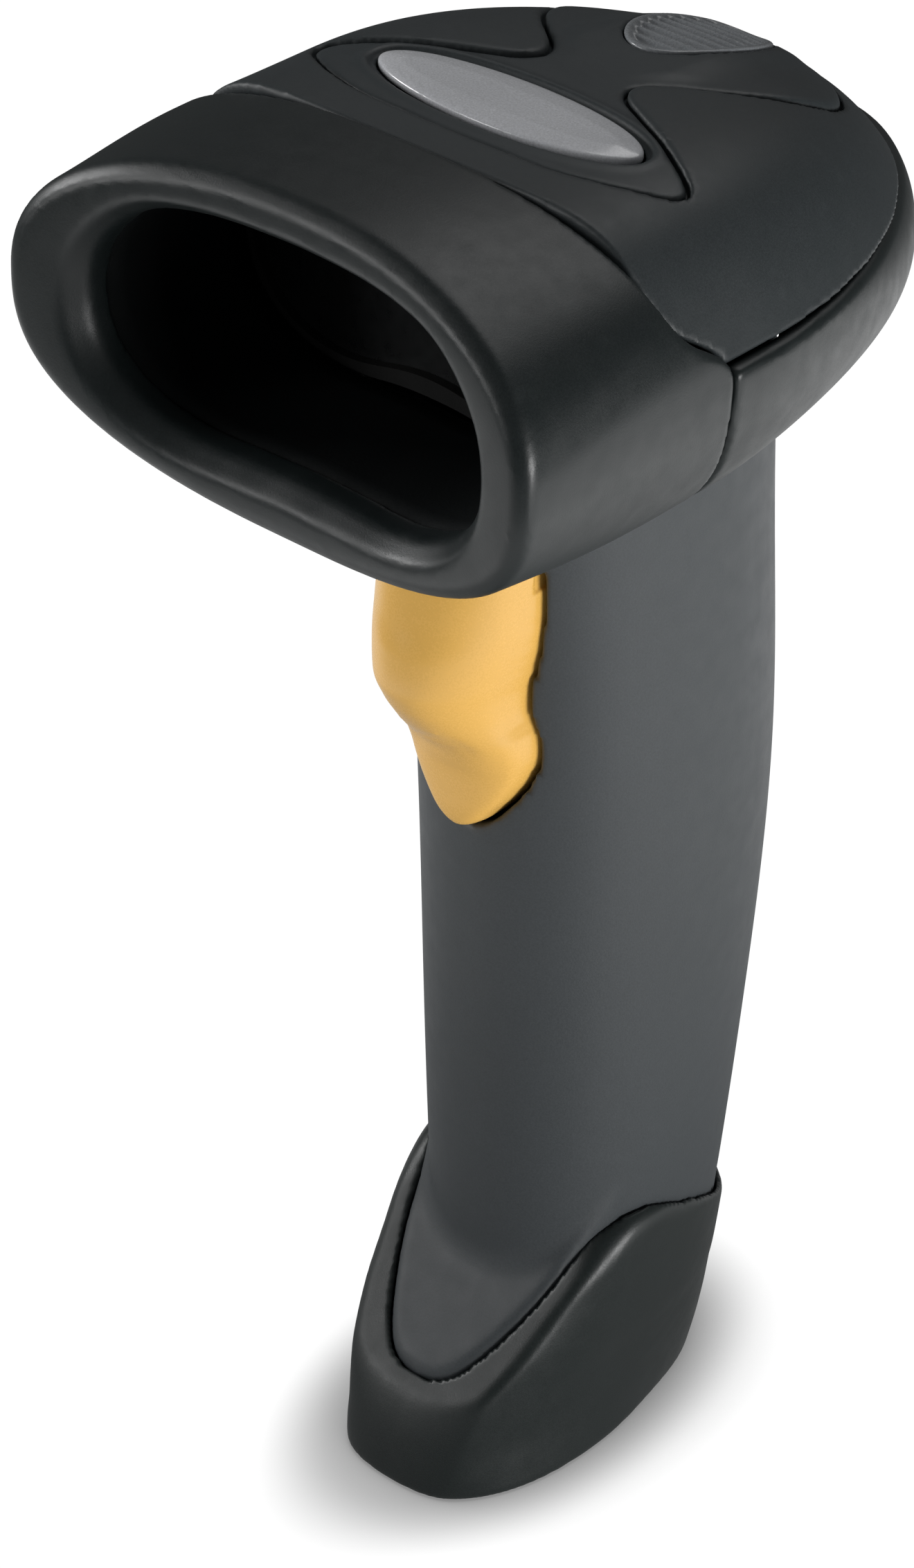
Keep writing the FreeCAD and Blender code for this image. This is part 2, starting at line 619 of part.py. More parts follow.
# ---- scan engine ----
ENGINE_Z = 124.0            # underside of the tray
TRAY_FLOOR = ENGINE_Z + 1.6
TRAY_TOP = ENGINE_Z + 9
TRAY_X, TRAY_INNER_X = 14, 12.6         # half widths outside and inside the walls
TRAY_FRONT, TRAY_BACK = 31.0, 53.0
EARS = ((-16.2, 34.0), (16.2, 34.0), (0.0, 55.2))       # x, y of the three mounting points
GROMMET_Z = ENGINE_Z - 1.6
GROMMET_TOP = ENGINE_Z + 3.2
ENGINE_SCREW_Z = 119.7      # lower end of the engine screws
CARRIER_Z = GRIP_TOP + TOUCH
LASER_Z = ENGINE_Z + 5.9
ENGINE_BOARD_TOP = ENGINE_Z + 10.2


def engine_tray():
    tray = box(-TRAY_X, TRAY_X, TRAY_FRONT, TRAY_BACK, ENGINE_Z, TRAY_FLOOR)
    tray = tray.fuse([
        box(-TRAY_X, -TRAY_INNER_X, TRAY_FRONT, TRAY_BACK, TRAY_FLOOR, TRAY_TOP),
        box(TRAY_INNER_X, TRAY_X, 36.0, TRAY_BACK, TRAY_FLOOR, TRAY_TOP),
        box(-TRAY_INNER_X, TRAY_INNER_X, 51.6, TRAY_BACK, TRAY_FLOOR, TRAY_TOP)])
    # boss for the mirror shaft and cradle for the laser barrel
    tray = tray.fuse(cylinder(MIRROR_X, MIRROR_Y, TRAY_FLOOR, Z_DIR, 1.6, 0.8))
    tray = tray.fuse(box(4.2, 12.4, 36.2, 43.2, TRAY_FLOOR, ENGINE_Z + 4.2))
    tray = tray.cut(cylinder(MIRROR_X, MIRROR_Y, ENGINE_Z + 0.2, Z_DIR, 0.51, 6))
    ears = [cylinder(x, y, ENGINE_Z, Z_DIR, 2.6, 1.6) for x, y in EARS]
    ears += [box(-16.2, -13.0, 32.0, 36.0, ENGINE_Z, TRAY_FLOOR),
             box(13.0, 16.2, 32.0, 36.0, ENGINE_Z, TRAY_FLOOR),
             box(-2.0, 2.0, 52.0, 55.2, ENGINE_Z, TRAY_FLOOR)]
    tray = tray.fuse(ears)
    for x, y in EARS:
        tray = tray.cut(cylinder(x, y, ENGINE_Z - 1, Z_DIR, 1.55, 4))
    return biggest(tray.cut(cylinder(0.0, MIRROR_Y, LASER_Z, X_DIR, 3.22, 12.55)))


def engine_grommets():
    grommets = []
    for x, y in EARS:
        lower = cylinder(x, y, GROMMET_Z, Z_DIR, 2.4, 1.6 - TOUCH)
        sleeve = cylinder(x, y, GROMMET_Z, Z_DIR, 1.5, GROMMET_TOP - GROMMET_Z)
        upper = cylinder(x, y, TRAY_FLOOR + TOUCH, Z_DIR, 2.1, 1.6 - TOUCH)
        grommet = lower.fuse([sleeve, upper])
        grommets.append(biggest(grommet.cut(cylinder(x, y, ENGINE_Z - 3, Z_DIR, 1.02, 9))))
    return Part.makeCompound(grommets)


def engine_screws():
    screws = []
    for x, y in EARS:
        shank = cylinder(x, y, ENGINE_SCREW_Z, Z_DIR, 1.0, ENGINE_Z + 3.3 - ENGINE_SCREW_Z)
        screw = shank.fuse(cylinder(x, y, GROMMET_TOP + TOUCH, Z_DIR, 1.9, 1.3))
        screws.append(cross_slotted(screw, (x, y, ENGINE_Z + 3.9), 2.1,
                                    arm=1.3, half_slot=0.25, axis=2))
    return Part.makeCompound(screws)


def engine_carrier():
    """Plate that closes the top of the grip neck and carries the engine on three posts."""
    carrier = box(-19.6, 19.6, 30.6, 59.4, CARRIER_Z, CARRIER_Z + 1.6)
    carrier = carrier.fuse([cylinder(x, y, CARRIER_Z, Z_DIR, 2.7, GROMMET_Z - TOUCH - CARRIER_Z)
                            for x, y in EARS])
    for x, y in EARS:
        carrier = carrier.cut(cylinder(x, y, CARRIER_Z + 0.5, Z_DIR, 1.02, 10))
    # opening for the ribbon cable
    carrier = carrier.cut(box(-11.8, -3.4, 48.6, 54.4, 115, 123))
    return biggest(carrier.common(head_solid(WALL + 0.15)))


def laser_barrel():
    barrel = cylinder(4.3, MIRROR_Y, LASER_Z, X_DIR, 3.2, 8.1)
    return barrel.cut(cylinder(4.2, MIRROR_Y, LASER_Z, X_DIR, 2.25, 2.4))


def collimating_lens():
    return cylinder(4.9, MIRROR_Y, LASER_Z, X_DIR, 2.23, 1.6)


# Mirror, magnet and coil stand at 45 degrees, so that the beam from the barrel leaves through
# the mouth. They are drawn square to the axes and then turned about the mirror's axis.
def turned(shape):
    shape = shape.copy()
    shape.rotate(V(MIRROR_X, MIRROR_Y, 0), Z_DIR, 45.0)
    return shape


def mirror_box(half_width, y0, y1, z0, z1):
    """Box placed from the mirror's axis and the underside of the tray, before turning."""
    return box(MIRROR_X - half_width, MIRROR_X + half_width, MIRROR_Y + y0, MIRROR_Y + y1,
               ENGINE_Z + z0, ENGINE_Z + z1)


def mirror_shaft():
    return cylinder(MIRROR_X, MIRROR_Y, ENGINE_Z + 0.22, Z_DIR, 0.5, 11.0)


def scan_mirror():
    hub = cylinder(MIRROR_X, MIRROR_Y, ENGINE_Z + 2.7, Z_DIR, 1.3, 7.7)
    mirror = mirror_box(5.2, -1.9, -0.8, 2.7, 10.4).fuse(hub)
    return turned(biggest(mirror.cut(cylinder(MIRROR_X, MIRROR_Y, ENGINE_Z, Z_DIR, 0.55, 14))))


def drive_magnet():
    return turned(mirror_box(1.5, 1.32, 2.6, 4.2, 8.0))


def drive_coil():
    coil = mirror_box(3.0, 3.6, 4.5, 1.62, 8.9)
    return turned(coil.cut(mirror_box(1.6, 3.0, 7.4, 3.6, 7.4)))


# ---- indicator under the lens ----
def indicator_leds():
    return Part.makeCompound([box(x - 0.9, x + 0.9, 59.0, 61.0, INDICATOR_Z, INDICATOR_Z + 0.95)
                              for x in (-2.2, 2.2)])


def light_pipe():
    pipe = cylinder(0, LENS[0], INDICATOR_Z + 1.0, Z_DIR, 3.6, 14)
    return biggest(pipe.common(cover_raised(-1.15)))


# ---- grip contents ----
BEEPER_Z = 62.0
SWITCH_Z = 91.8
RIBBON_END_Z = 110.0        # lower end of the ribbon cable


def main_board():
    board = box(-10.0, 10.0, BOARD_Y, BOARD_BACK, 20.6, 116.0)
    for z in BOARD_SCREWS_Z:
        board = board.cut(cylinder(0, BOARD_Y - 1, z, Y_DIR, 1.15, 5))
    return board


def board_screws():
    screws = []
    for z in BOARD_SCREWS_Z:
        shank = cylinder(0, BOARD_Y - 5.5, z, Y_DIR, 0.9, 7.2)
        screw = shank.fuse(cylinder(0, BOARD_BACK + TOUCH, z, Y_DIR, 1.9, 1.3))
        screws.append(cross_slotted(screw, (0, BOARD_Y + 2.3, z), 1.7,
                                    arm=1.3, half_slot=0.25, axis=1))
    return Part.makeCompound(screws)


def beeper():
    body = cylinder(0, BOARD_Y - 4.6, BEEPER_Z, Y_DIR, 6.2, 4.6 - TOUCH)
    return body.cut(cylinder(0, BOARD_Y - 5.6, BEEPER_Z, Y_DIR, 1.0, 2.6))


def trigger_switch():
    body = box(-3.2, 3.2, BOARD_Y - 5.6, BOARD_Y - TOUCH, SWITCH_Z - 5.5, SWITCH_Z + 5.5)
    return body.cut(cylinder(0, BOARD_Y - 7, SWITCH_Z, Y_DIR, 1.15, 6.0))


def switch_plunger():
    return cylinder(0, BOARD_Y - 12.2, SWITCH_Z, Y_DIR, 1.1, 9.2)


def ribbon_cable():
    """Flat ribbon from the engine board down to the main board."""
    top = ENGINE_BOARD_TOP + TOUCH
    return prism_x([(51.6, top), (53.3, top), (53.3, 121.8), (49.7, 118.2),
                    (49.7, RIBBON_END_Z), (49.9, RIBBON_END_Z), (49.9, 118.1), (53.5, 121.7),
                    (53.5, top + 0.2), (51.6, top + 0.2)], -10.6, -4.4)


def cable_socket():
    front = SOCKET_Y - SOCKET_Y_SIZE / 2
    socket = socket_block(1.4, SOCKET_Z, SOCKET_Z + SOCKET_DEPTH + 1.6)
    socket = socket.cut(socket_block(0.0, SOCKET_Z - 1, SOCKET_Z + SOCKET_DEPTH))
    # notch in the front wall
    return biggest(socket.cut(box(-1.7, 1.7, front - 1.0, front + 1, SOCKET_Z - 1,
                                  SOCKET_Z + 9.0)))


def socket_contacts():
    back = SOCKET_Y + SOCKET_Y_SIZE / 2
    contacts = []
    for i in range(10):
        x = -4.6 + i * 1.02
        contacts.append(box(x - 0.2, x + 0.2, back - 1.0, back - TOUCH,
                            SOCKET_Z + 6.0, SOCKET_Z + SOCKET_DEPTH - TOUCH))
    return Part.makeCompound(contacts)


def return_spring():
    """Bent strip behind the finger pad, below the pin."""
    return prism_x([(20.25, 98.5), (33.6, 104.5), (34.3, 107.7), (34.0, 107.75),
                    (33.35, 104.75), (20.15, 98.8)], -2.2, 2.2)


# Plain rectangular pieces: x0, x1, y0, y1, z0, z1.
CHIP_Y = BOARD_BACK + TOUCH
BLOCKS = {
    "detector_board": (5.4, 12.4, 34.8, 35.8, TRAY_FLOOR + TOUCH, ENGINE_Z + 10.5),
    "photodiode": (6.9, 10.9, 33.7, 34.8 - TOUCH, ENGINE_Z + 4.0, ENGINE_Z + 8.0),
    "optical_filter": (6.2, 11.6, 32.7, 33.7 - TOUCH, ENGINE_Z + 3.2, ENGINE_Z + 8.8),
    "engine_board": (-13.9, 13.9, 44.2, 52.9, TRAY_TOP + TOUCH, ENGINE_BOARD_TOP),
    "engine_chip": (-3, 5, 45.0, 51.0, ENGINE_BOARD_TOP + TOUCH, ENGINE_Z + 11.3),
    "indicator_board": (-7.0, 7.0, 54.0, 66.0, 135.1, INDICATOR_Z - TOUCH),
    "decoder_chip": (-5.5, 5.5, CHIP_Y, BOARD_Y + 3.1, 58.0, 69.0),
    "memory_chip": (-4.0, 4.0, CHIP_Y, BOARD_Y + 2.8, 46.0, 54.0),
    "ribbon_connector": (-10.1, -4.0, CHIP_Y, BOARD_Y + 3.1, 104.0, RIBBON_END_Z - TOUCH),
    "socket_board": (-7.6, 7.6, 34.6, 52.0, 17.85, 19.05),
    "board_header": (-5.0, 5.0, BOARD_Y - 2.6, BOARD_Y - TOUCH, 19.08, 23.0),
}

# Each of these functions builds the piece it is named after.
PIECES = [
    trigger, trigger_pivot_pin, handle_front_shell, handle_rear_cover, nose_bezel, rear_band,
    top_cover, cover_panel, badge_plate, indicator_lens, foot_boot, boot_screws, mouth_liner,
    window_gasket, exit_window, engine_tray, engine_grommets, engine_screws, engine_carrier,
    laser_barrel, collimating_lens, mirror_shaft, scan_mirror, drive_magnet, drive_coil,
    indicator_leds, light_pipe, main_board, board_screws, beeper, trigger_switch,
    switch_plunger, ribbon_cable, cable_socket, socket_contacts, return_spring,
]


def save(name, shape):
    solids = shape.Solids
    piece = solids[0] if len(solids) == 1 else Part.makeCompound(solids)
    piece = piece.copy()
    piece.translate(V(0, -DEPTH / 2, 0))
    piece.exportStep(os.path.join("parts", name + ".step"))


os.makedirs("parts", exist_ok=True)
for old in os.listdir("parts"):
    if old.endswith(".step"):
        os.remove(os.path.join("parts", old))
for build in PIECES:
    save(build.__name__, build())
for name, limits in BLOCKS.items():
    save(name, box(*limits))
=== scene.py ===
# A hand-held laser scanner: a rounded head on an upright grip with a trigger and a boot at the foot.
# Shapes are drawn in millimetres: x across, y from the nose towards the back, z up from the floor.
# Each housing part is a signed distance (negative inside) sampled on a block of points and
# meshed where it crosses zero. Meshes are placed in metres, with the origin at y = ORIGIN_Y.
import bpy
import math
import numpy as np
import openvdb
from functools import reduce
from mathutils import Vector, Matrix


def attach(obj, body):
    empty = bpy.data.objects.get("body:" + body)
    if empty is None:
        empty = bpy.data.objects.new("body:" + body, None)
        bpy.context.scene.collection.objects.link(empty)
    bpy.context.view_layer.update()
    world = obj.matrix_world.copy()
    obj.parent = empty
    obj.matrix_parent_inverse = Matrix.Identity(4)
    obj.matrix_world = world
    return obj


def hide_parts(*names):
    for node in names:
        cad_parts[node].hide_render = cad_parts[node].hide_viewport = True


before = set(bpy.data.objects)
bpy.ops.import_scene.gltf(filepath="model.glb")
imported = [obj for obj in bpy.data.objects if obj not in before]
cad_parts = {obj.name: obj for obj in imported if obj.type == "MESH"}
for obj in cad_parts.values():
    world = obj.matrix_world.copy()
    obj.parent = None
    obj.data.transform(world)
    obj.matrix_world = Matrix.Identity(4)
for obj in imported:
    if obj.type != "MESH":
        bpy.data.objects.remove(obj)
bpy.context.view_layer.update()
MM = 0.001
ORIGIN_Y = 42.0
COARSENING = 1.0     # widens the point spacing for a quick build
f32 = np.float32


# ------------------------------------------------------------------ curves in one variable
class Curve:
    """Values at given stations, held flat outside them."""
    def __init__(self, stations, values):
        self.at = np.array(stations, float)
        self.values = np.array(values, float)
        self.gap = np.diff(self.at)
        self.rise = np.diff(self.values) / self.gap

    def locate(self, where):
        """The span each place falls in, and how far past the span's start it is."""
        where = np.clip(where, self.at[0], self.at[-1])
        span = np.clip(np.searchsorted(self.at, where) - 1, 0, len(self.at) - 2)
        return span, where - self.at[span]


class Natural(Curve):
    """Natural cubic spline."""
    def __init__(self, stations, values):
        super().__init__(stations, values)
        count, gap, rise = len(self.at), self.gap, self.rise
        system = np.zeros((count, count))
        right = np.zeros(count)
        system[0, 0] = system[-1, -1] = 1
        for i in range(1, count - 1):
            system[i, i - 1:i + 2] = gap[i - 1], 2 * (gap[i - 1] + gap[i]), gap[i]
            right[i] = 3 * (rise[i] - rise[i - 1])
        self.square = np.linalg.solve(system, right)
        self.linear = rise - gap * (self.square[1:] + 2 * self.square[:-1]) / 3
        self.cube = (self.square[1:] - self.square[:-1]) / (3 * gap)

    def __call__(self, where):
        i, t = self.locate(where)
        return (self.values[i] + self.linear[i] * t + self.square[i] * t * t
                + self.cube[i] * t ** 3)


class Monotone(Curve):
    """Shape-keeping cubic: no overshoot between the given points."""
    def __init__(self, stations, values):
        super().__init__(stations, values)
        gap, rise = self.gap, self.rise
        self.slope = np.zeros(len(self.at))
        for i in range(1, len(self.at) - 1):
            if rise[i - 1] * rise[i] > 0:
                before, after = 2 * gap[i] + gap[i - 1], gap[i] + 2 * gap[i - 1]
                self.slope[i] = (before + after) / (before / rise[i - 1] + after / rise[i])
        self.slope[0], self.slope[-1] = rise[0], rise[-1]

    def __call__(self, where):
        i, offset = self.locate(where)
        gap = self.gap[i]
        t = offset / gap
        return (self.values[i] * (1 + 2 * t) * (1 - t) ** 2
                + gap * self.slope[i] * t * (1 - t) ** 2
                + self.values[i + 1] * t * t * (3 - 2 * t)
                + gap * self.slope[i + 1] * t * t * (t - 1))


def table_curves(kind, rows):
    """One curve for each column after the first, which holds the stations."""
    stations, *columns = zip(*rows)
    return [kind(stations, column) for column in columns]


def slant(curve, at, reach):
    """Length of the curve per unit of its station; turns an offset into a distance."""
    slope = (curve(at + reach) - curve(at - reach)) / (2 * reach)
    return np.sqrt(1 + slope * slope)


# ------------------------------------------------------------------ combining distances
def smooth_max(a, b, rounding):
    """Intersection with an edge rounded to about the given size."""
    blend = np.maximum(rounding - np.abs(a - b), 0) / rounding
    return np.maximum(a, b) + blend * blend * rounding * 0.25


def smooth_min(a, b, rounding):
    return -smooth_max(-a, -b, rounding)


def overlap(*parts):
    """Intersection with sharp edges."""
    return reduce(np.maximum, parts)


def hollow(distance, wall):
    return smooth_max(distance, -(distance + wall), 0.2)


def smoothstep(x, start, end):
    t = np.clip((x - start) / (end - start), 0, 1)
    return t * t * (3 - 2 * t)


def eased_ramp(value, ease):
    """0 below zero, the value above, eased over the given reach."""
    return np.where(value > ease, value,
                    np.where(value < -ease, 0.0, (value + ease) ** 2 / (4 * ease)))


def mirrored(half):
    """Closes a half outline that starts and ends on the centre line."""
    return half + [(-x, y) for x, y in half[-2:0:-1]]


def outline_distance(outline, x, y):
    """Signed distance to a closed outline, negative inside."""
    starts = np.array(outline, float)
    ends = np.roll(starts, -1, 0)
    edges = ends - starts
    best = np.full(x.shape, 1e9, f32)
    inside = np.zeros(x.shape, bool)
    for start, end, edge, square in zip(starts, ends, edges, (edges ** 2).sum(1)):
        dx = x - start[0]
        dy = y - start[1]
        t = np.clip((dx * edge[0] + dy * edge[1]) / max(square, 1e-9), 0, 1)
        best = np.minimum(best, (dx - t * edge[0]) ** 2 + (dy - t * edge[1]) ** 2)
        crosses = (start[1] > y) != (end[1] > y)
        height = edge[1] if abs(edge[1]) > 1e-12 else 1e-12
        inside ^= crosses & (x < start[0] + dy * edge[0] / height)
    return np.where(inside, -1, 1) * np.sqrt(best)


class Block:
    """A box of evenly spaced sample points, in drawing millimetres."""
    def __init__(self, low, high, step):
        self.low = np.array(low, float)
        self.step = step * COARSENING
        self.shape = np.ceil((np.array(high, float) - self.low) / self.step).astype(int) + 1
        self.axes = [(self.low[i] + self.step * np.arange(self.shape[i])).astype(f32)
                     for i in range(3)]
        self.x = self.axes[0][:, None, None]
        self.y = self.axes[1][None, :, None]
        self.z = self.axes[2][None, None, :]

    def lattice(self, first, second):
        return np.meshgrid(self.axes[first], self.axes[second], indexing="ij")

    def full(self, field):
        return np.broadcast_to(field, tuple(self.shape)).astype(f32)

    def distance(self, field, limit):
        """First-order distance from a smooth implicit function."""
        field = self.full(field)
        gx, gy, gz = np.gradient(field, self.step)
        steepness = np.sqrt(gx * gx + gy * gy + gz * gz)
        return np.clip(field / np.maximum(steepness, 1e-3), -limit, limit)

    def above(self, height):
        """Distance above a surface given by its height on the x-y lattice."""
        gx, gy = np.gradient(height, self.step)
        return (self.z - height[:, :, None]) / np.sqrt(1 + gx ** 2 + gy ** 2)[:, :, None]

    def slab(self, top, bottom, rounding):
        return smooth_max(self.above(top), -self.above(bottom), rounding)

    def mesh(self, field):
        far = 3 * self.step
        field = np.ascontiguousarray(np.clip(self.full(field), -far, far))
        # close anything that reaches the block's edge
        field[[0, -1]] = field[:, [0, -1]] = field[:, :, [0, -1]] = far
        volume = openvdb.FloatGrid(float(far))
        volume.copyFromArray(field)
        points, quads = volume.convertToQuads(isovalue=0.0)
        return points * self.step + self.low, quads


# ------------------------------------------------------------------ meshes
def quad_edges(quads):
    return np.concatenate([quads[:, [0, 1]], quads[:, [1, 2]], quads[:, [2, 3]], quads[:, [3, 0]]])


def drop_specks(points, quads, least=400):
    """Keeps only the connected pieces with at least this many points."""
    count = len(points)
    label = np.arange(count)
    edges = quad_edges(quads)
    while True:
        new = label.copy()
        np.minimum.at(new, edges[:, 0], label[edges[:, 1]])
        np.minimum.at(new, edges[:, 1], label[edges[:, 0]])
        new = new[new]
        if (new == label).all():
            break
        label = new
    labels, sizes = np.unique(label, return_counts=True)
    kept = np.isin(label, labels[sizes >= least])
    if kept.all():
        return points, quads
    index = -np.ones(count, int)
    index[kept] = np.arange(kept.sum())
    return points[kept], index[quads[kept[quads[:, 0]]]]


def relax(points, quads):
    """Two rounds of light smoothing; each inward pass is undone by an outward one."""
    edges = quad_edges(quads)
    edges = np.concatenate([edges, edges[:, ::-1]])
    count = len(points)
    neighbours = np.maximum(np.bincount(edges[:, 0], minlength=count).astype(float), 1)[:, None]
    for weight in (0.5, -0.52) * 2:
        total = np.stack([np.bincount(edges[:, 0], weights=points[edges[:, 1], k],
                                      minlength=count) for k in range(3)], 1)
        points = points + weight * (total / neighbours - points)
    return points


def make_object(name, points, quads, material, slot, replaces, body="housing"):
    points = (np.asarray(points, float) - np.array([0, ORIGIN_Y, 0])) * MM
    quads = np.asarray(quads, np.int32)
    mesh = bpy.data.meshes.new(name)
    mesh.vertices.add(len(points))
    mesh.vertices.foreach_set("co", points.astype(f32).ravel())
    mesh.loops.add(quads.size)
    mesh.loops.foreach_set("vertex_index", quads.ravel())
    mesh.polygons.add(len(quads))
    mesh.polygons.foreach_set("loop_start", np.arange(0, quads.size, 4, dtype=np.int32))
    mesh.polygons.foreach_set("use_smooth", np.full(len(quads), True))
    mesh.update(calc_edges=True)
    mesh.validate()
    made = bpy.data.objects.new(name, mesh)
    bpy.context.scene.collection.objects.link(made)
    mesh.materials.append(material)
    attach(made, body)
    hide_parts(replaces)


def make_solid(name, block, field, material, **told):
    points, quads = drop_specks(*block.mesh(field))
    make_object(name, relax(points, quads), quads, material, **told)


# ------------------------------------------------------------------ shader helpers
def wire(tree, target, inputs):
    """Links or sets inputs, given by name or number."""
    for key, value in inputs.items():
        if isinstance(value, bpy.types.NodeSocket):
            tree.links.new(value, target.inputs[key])
        else:
            target.inputs[key].default_value = value


def node(tree, kind, inputs=None, **settings):
    made = tree.nodes.new("ShaderNode" + kind)
    for key, value in settings.items():
        setattr(made, key, value)
    wire(tree, made, inputs or {})
    return made


def object_place(tree):
    return node(tree, "TexCoord").outputs["Object"]


def noise(tree, place, scale, detail, roughness=0.5):
    return node(tree, "TexNoise", {"Scale": scale, "Detail": detail, "Roughness": roughness,
                                   "Vector": place}).outputs["Fac"]


def remap(tree, value, to, over=(0.3, 0.7), smooth=False):
    """Maps the range `over` onto the range `to`."""
    return node(tree, "MapRange",
                {"From Min": over[0], "From Max": over[1], "To Min": to[0], "To Max": to[1],
                 "Value": value},
                interpolation_type="SMOOTHSTEP" if smooth else "LINEAR").outputs["Result"]


def mix(tree, factor, first, second, blend="MIX"):
    return node(tree, "Mix", {0: factor, 6: first, 7: second},
                data_type="RGBA", blend_type=blend).outputs[2]


def calculate(tree, operation, first, second):
    return node(tree, "Math", {0: first, 1: second}, operation=operation).outputs[0]


def grey(tree, value):
    return node(tree, "CombineColor", {0: value, 1: value, 2: value}).outputs[0]


def along(tree, vector, direction):
    return node(tree, "VectorMath", {0: vector, 1: direction},
                operation="DOT_PRODUCT").outputs["Value"]


def length(tree, vector):
    return node(tree, "VectorMath", {0: vector}, operation="LENGTH").outputs["Value"]


def bump(tree, height, strength):
    return node(tree, "Bump", {"Strength": strength, "Distance": 0.00003,
                               "Height": height}).outputs[0]


def shade(colour, gain=1, lift=0):
    return (*[min(1, channel * gain + lift) for channel in colour], 1)


def blank_material(name):
    material = bpy.data.materials.new(name)
    material.use_nodes = True
    tree = material.node_tree
    tree.nodes.clear()
    return material, tree, node(tree, "OutputMaterial")


def surface_material(name):
    material, tree, output = blank_material(name)
    shader = node(tree, "BsdfPrincipled")
    tree.links.new(shader.outputs[0], output.inputs[0])
    return material, tree, shader


# ------------------------------------------------------------------ kinds of material
def plastic(name, colour, rough, grain, spread=0.05, grain_scale=5200, specular=0.5,
            coat=0.0, tint=0.12, edge_lightening=0.0, speckle=0.14):
    """Moulded plastic: bumpy grain, cloudy colour and roughness, patchy lighter colour on sharp
    convex edges.
    spread varies the roughness, tint the cloudy colour, speckle the fine one."""
    material, tree, shader = surface_material(name)
    place = object_place(tree)
    cloud = noise(tree, place, scale=28, detail=3)
    patch = noise(tree, place, scale=420, detail=3)
    fine = noise(tree, place, scale=grain_scale, detail=2, roughness=0.6)
    base = mix(tree, remap(tree, cloud, to=(0, 1)),
               shade(colour, gain=1 - tint), shade(colour, gain=1 + tint))
    base = mix(tree, 1.0, base, grey(tree, remap(tree, fine, to=(1 - speckle, 1 + speckle))),
               blend="MULTIPLY")
    # lighter colour on sharp convex edges, found by pointiness, in patches
    if edge_lightening > 0:
        pointiness = node(tree, "NewGeometry").outputs["Pointiness"]
        edge = remap(tree, pointiness, to=(0, edge_lightening), over=(0.505, 0.56))
        lighter_edges = calculate(tree, "MULTIPLY", edge, remap(tree, patch, to=(0.2, 1.0)))
        base = mix(tree, lighter_edges, base, shade(colour, gain=2.2, lift=0.02))
    roughness = calculate(tree, "ADD", remap(tree, patch, to=(rough - spread, rough + spread)),
                          remap(tree, fine, to=(-0.03, 0.03)))
    wire(tree, shader, {"Base Color": base, "Roughness": roughness,
                        "Specular IOR Level": specular, "Normal": bump(tree, fine, grain)})
    if coat:
        wire(tree, shader, {"Coat Weight": coat, "Coat Roughness": 0.12})
    return material


def metal(name, colour, rough, scale, drawn=False):
    """Metal with fine noise, squeezed along z where it is drawn."""
    material, tree, shader = surface_material(name)
    stretch = node(tree, "Mapping", {"Vector": object_place(tree),
                                     "Scale": (1, 1, 12 if drawn else 1)})
    marks = noise(tree, stretch.outputs[0], scale=scale, detail=4)
    wire(tree, shader, {
        "Base Color": mix(tree, remap(tree, marks, to=(0, 1)), shade(colour, gain=0.85),
                          shade(colour)),
        "Roughness": remap(tree, marks, to=(rough - 0.08, rough + 0.1)),
        "Metallic": 1.0,
        "Normal": bump(tree, marks, strength=0.25)})
    return material


def glass(name, colour, rough, transmission):
    material, tree, shader = surface_material(name)
    cloud = noise(tree, object_place(tree), scale=300, detail=3)
    wire(tree, shader, {
        "Base Color": mix(tree, remap(tree, cloud, to=(0, 1)), shade(colour, gain=0.92),
                          shade(colour)),
        "Roughness": remap(tree, cloud, to=(max(0.0, rough - 0.02), rough + 0.04)),
        "Transmission Weight": transmission,
        "IOR": 1.5})
    return material


def circuit_board(name):
    """Green board with a pattern of small angular cells."""
    material, tree, shader = surface_material(name)
    place = object_place(tree)
    cells = node(tree, "TexVoronoi", {"Scale": 420, "Vector": place}, distance="MANHATTAN")
    cloud = noise(tree, place, scale=150, detail=4)
    pattern = remap(tree, cells.outputs["Distance"], to=(0, 1), over=(0.15, 0.35))
    wire(tree, shader, {
        "Base Color": mix(tree, pattern, shade((0.045, 0.26, 0.10)), shade((0.015, 0.13, 0.05))),
        "Roughness": remap(tree, cloud, to=(0.25, 0.42))})
    return material


# ------------------------------------------------------------------ housing materials
BLACK = dict(rough=0.40, spread=0.035, grain=0.35, tint=0.08)
GREY = dict(rough=0.50, spread=0.035, grain=0.40, tint=0.06)
NOSE = plastic("m_nose", colour=(0.0115, 0.0160, 0.0165), edge_lightening=0.10, **BLACK)
BAND = plastic("m_band", colour=(0.0110, 0.0155, 0.0158), edge_lightening=0.10, **BLACK)
BOOT = plastic("m_boot", colour=(0.0108, 0.0155, 0.0152), edge_lightening=0.08, **BLACK)
COVER = plastic("m_cover", colour=(0.028, 0.0345, 0.037), edge_lightening=0.06, **GREY)
PANEL = plastic("m_panel", colour=(0.029, 0.036, 0.039), rough=0.47, spread=0.035, grain=0.35,
                tint=0.06, edge_lightening=0.08)
GRIP_FRONT = plastic("m_grip", colour=(0.047, 0.054, 0.0585), edge_lightening=0.05, **GREY)
AMBER = plastic("m_trigger", colour=(0.97, 0.56, 0.13), rough=0.27, spread=0.03, grain=0.06,
                tint=0.03, speckle=0.03)
LINER = plastic("m_liner", colour=(0.0040, 0.0052, 0.0056), rough=0.75, spread=0.04, grain=1.0,
                grain_scale=2600, tint=0.2, specular=0.12)
BADGE = plastic("m_badge", colour=(0.66, 0.67, 0.70), rough=0.22, spread=0.04, grain=0.05,
                tint=0.10, coat=0.8)
LENS = plastic("m_lens", colour=(0.25, 0.265, 0.28), rough=0.28, spread=0.04, grain=0.10,
               tint=0.10, coat=0.3)
GRIP_BACK = plastic("m_grip_back", colour=(0.048, 0.055, 0.0595), edge_lightening=0.05, **GREY)

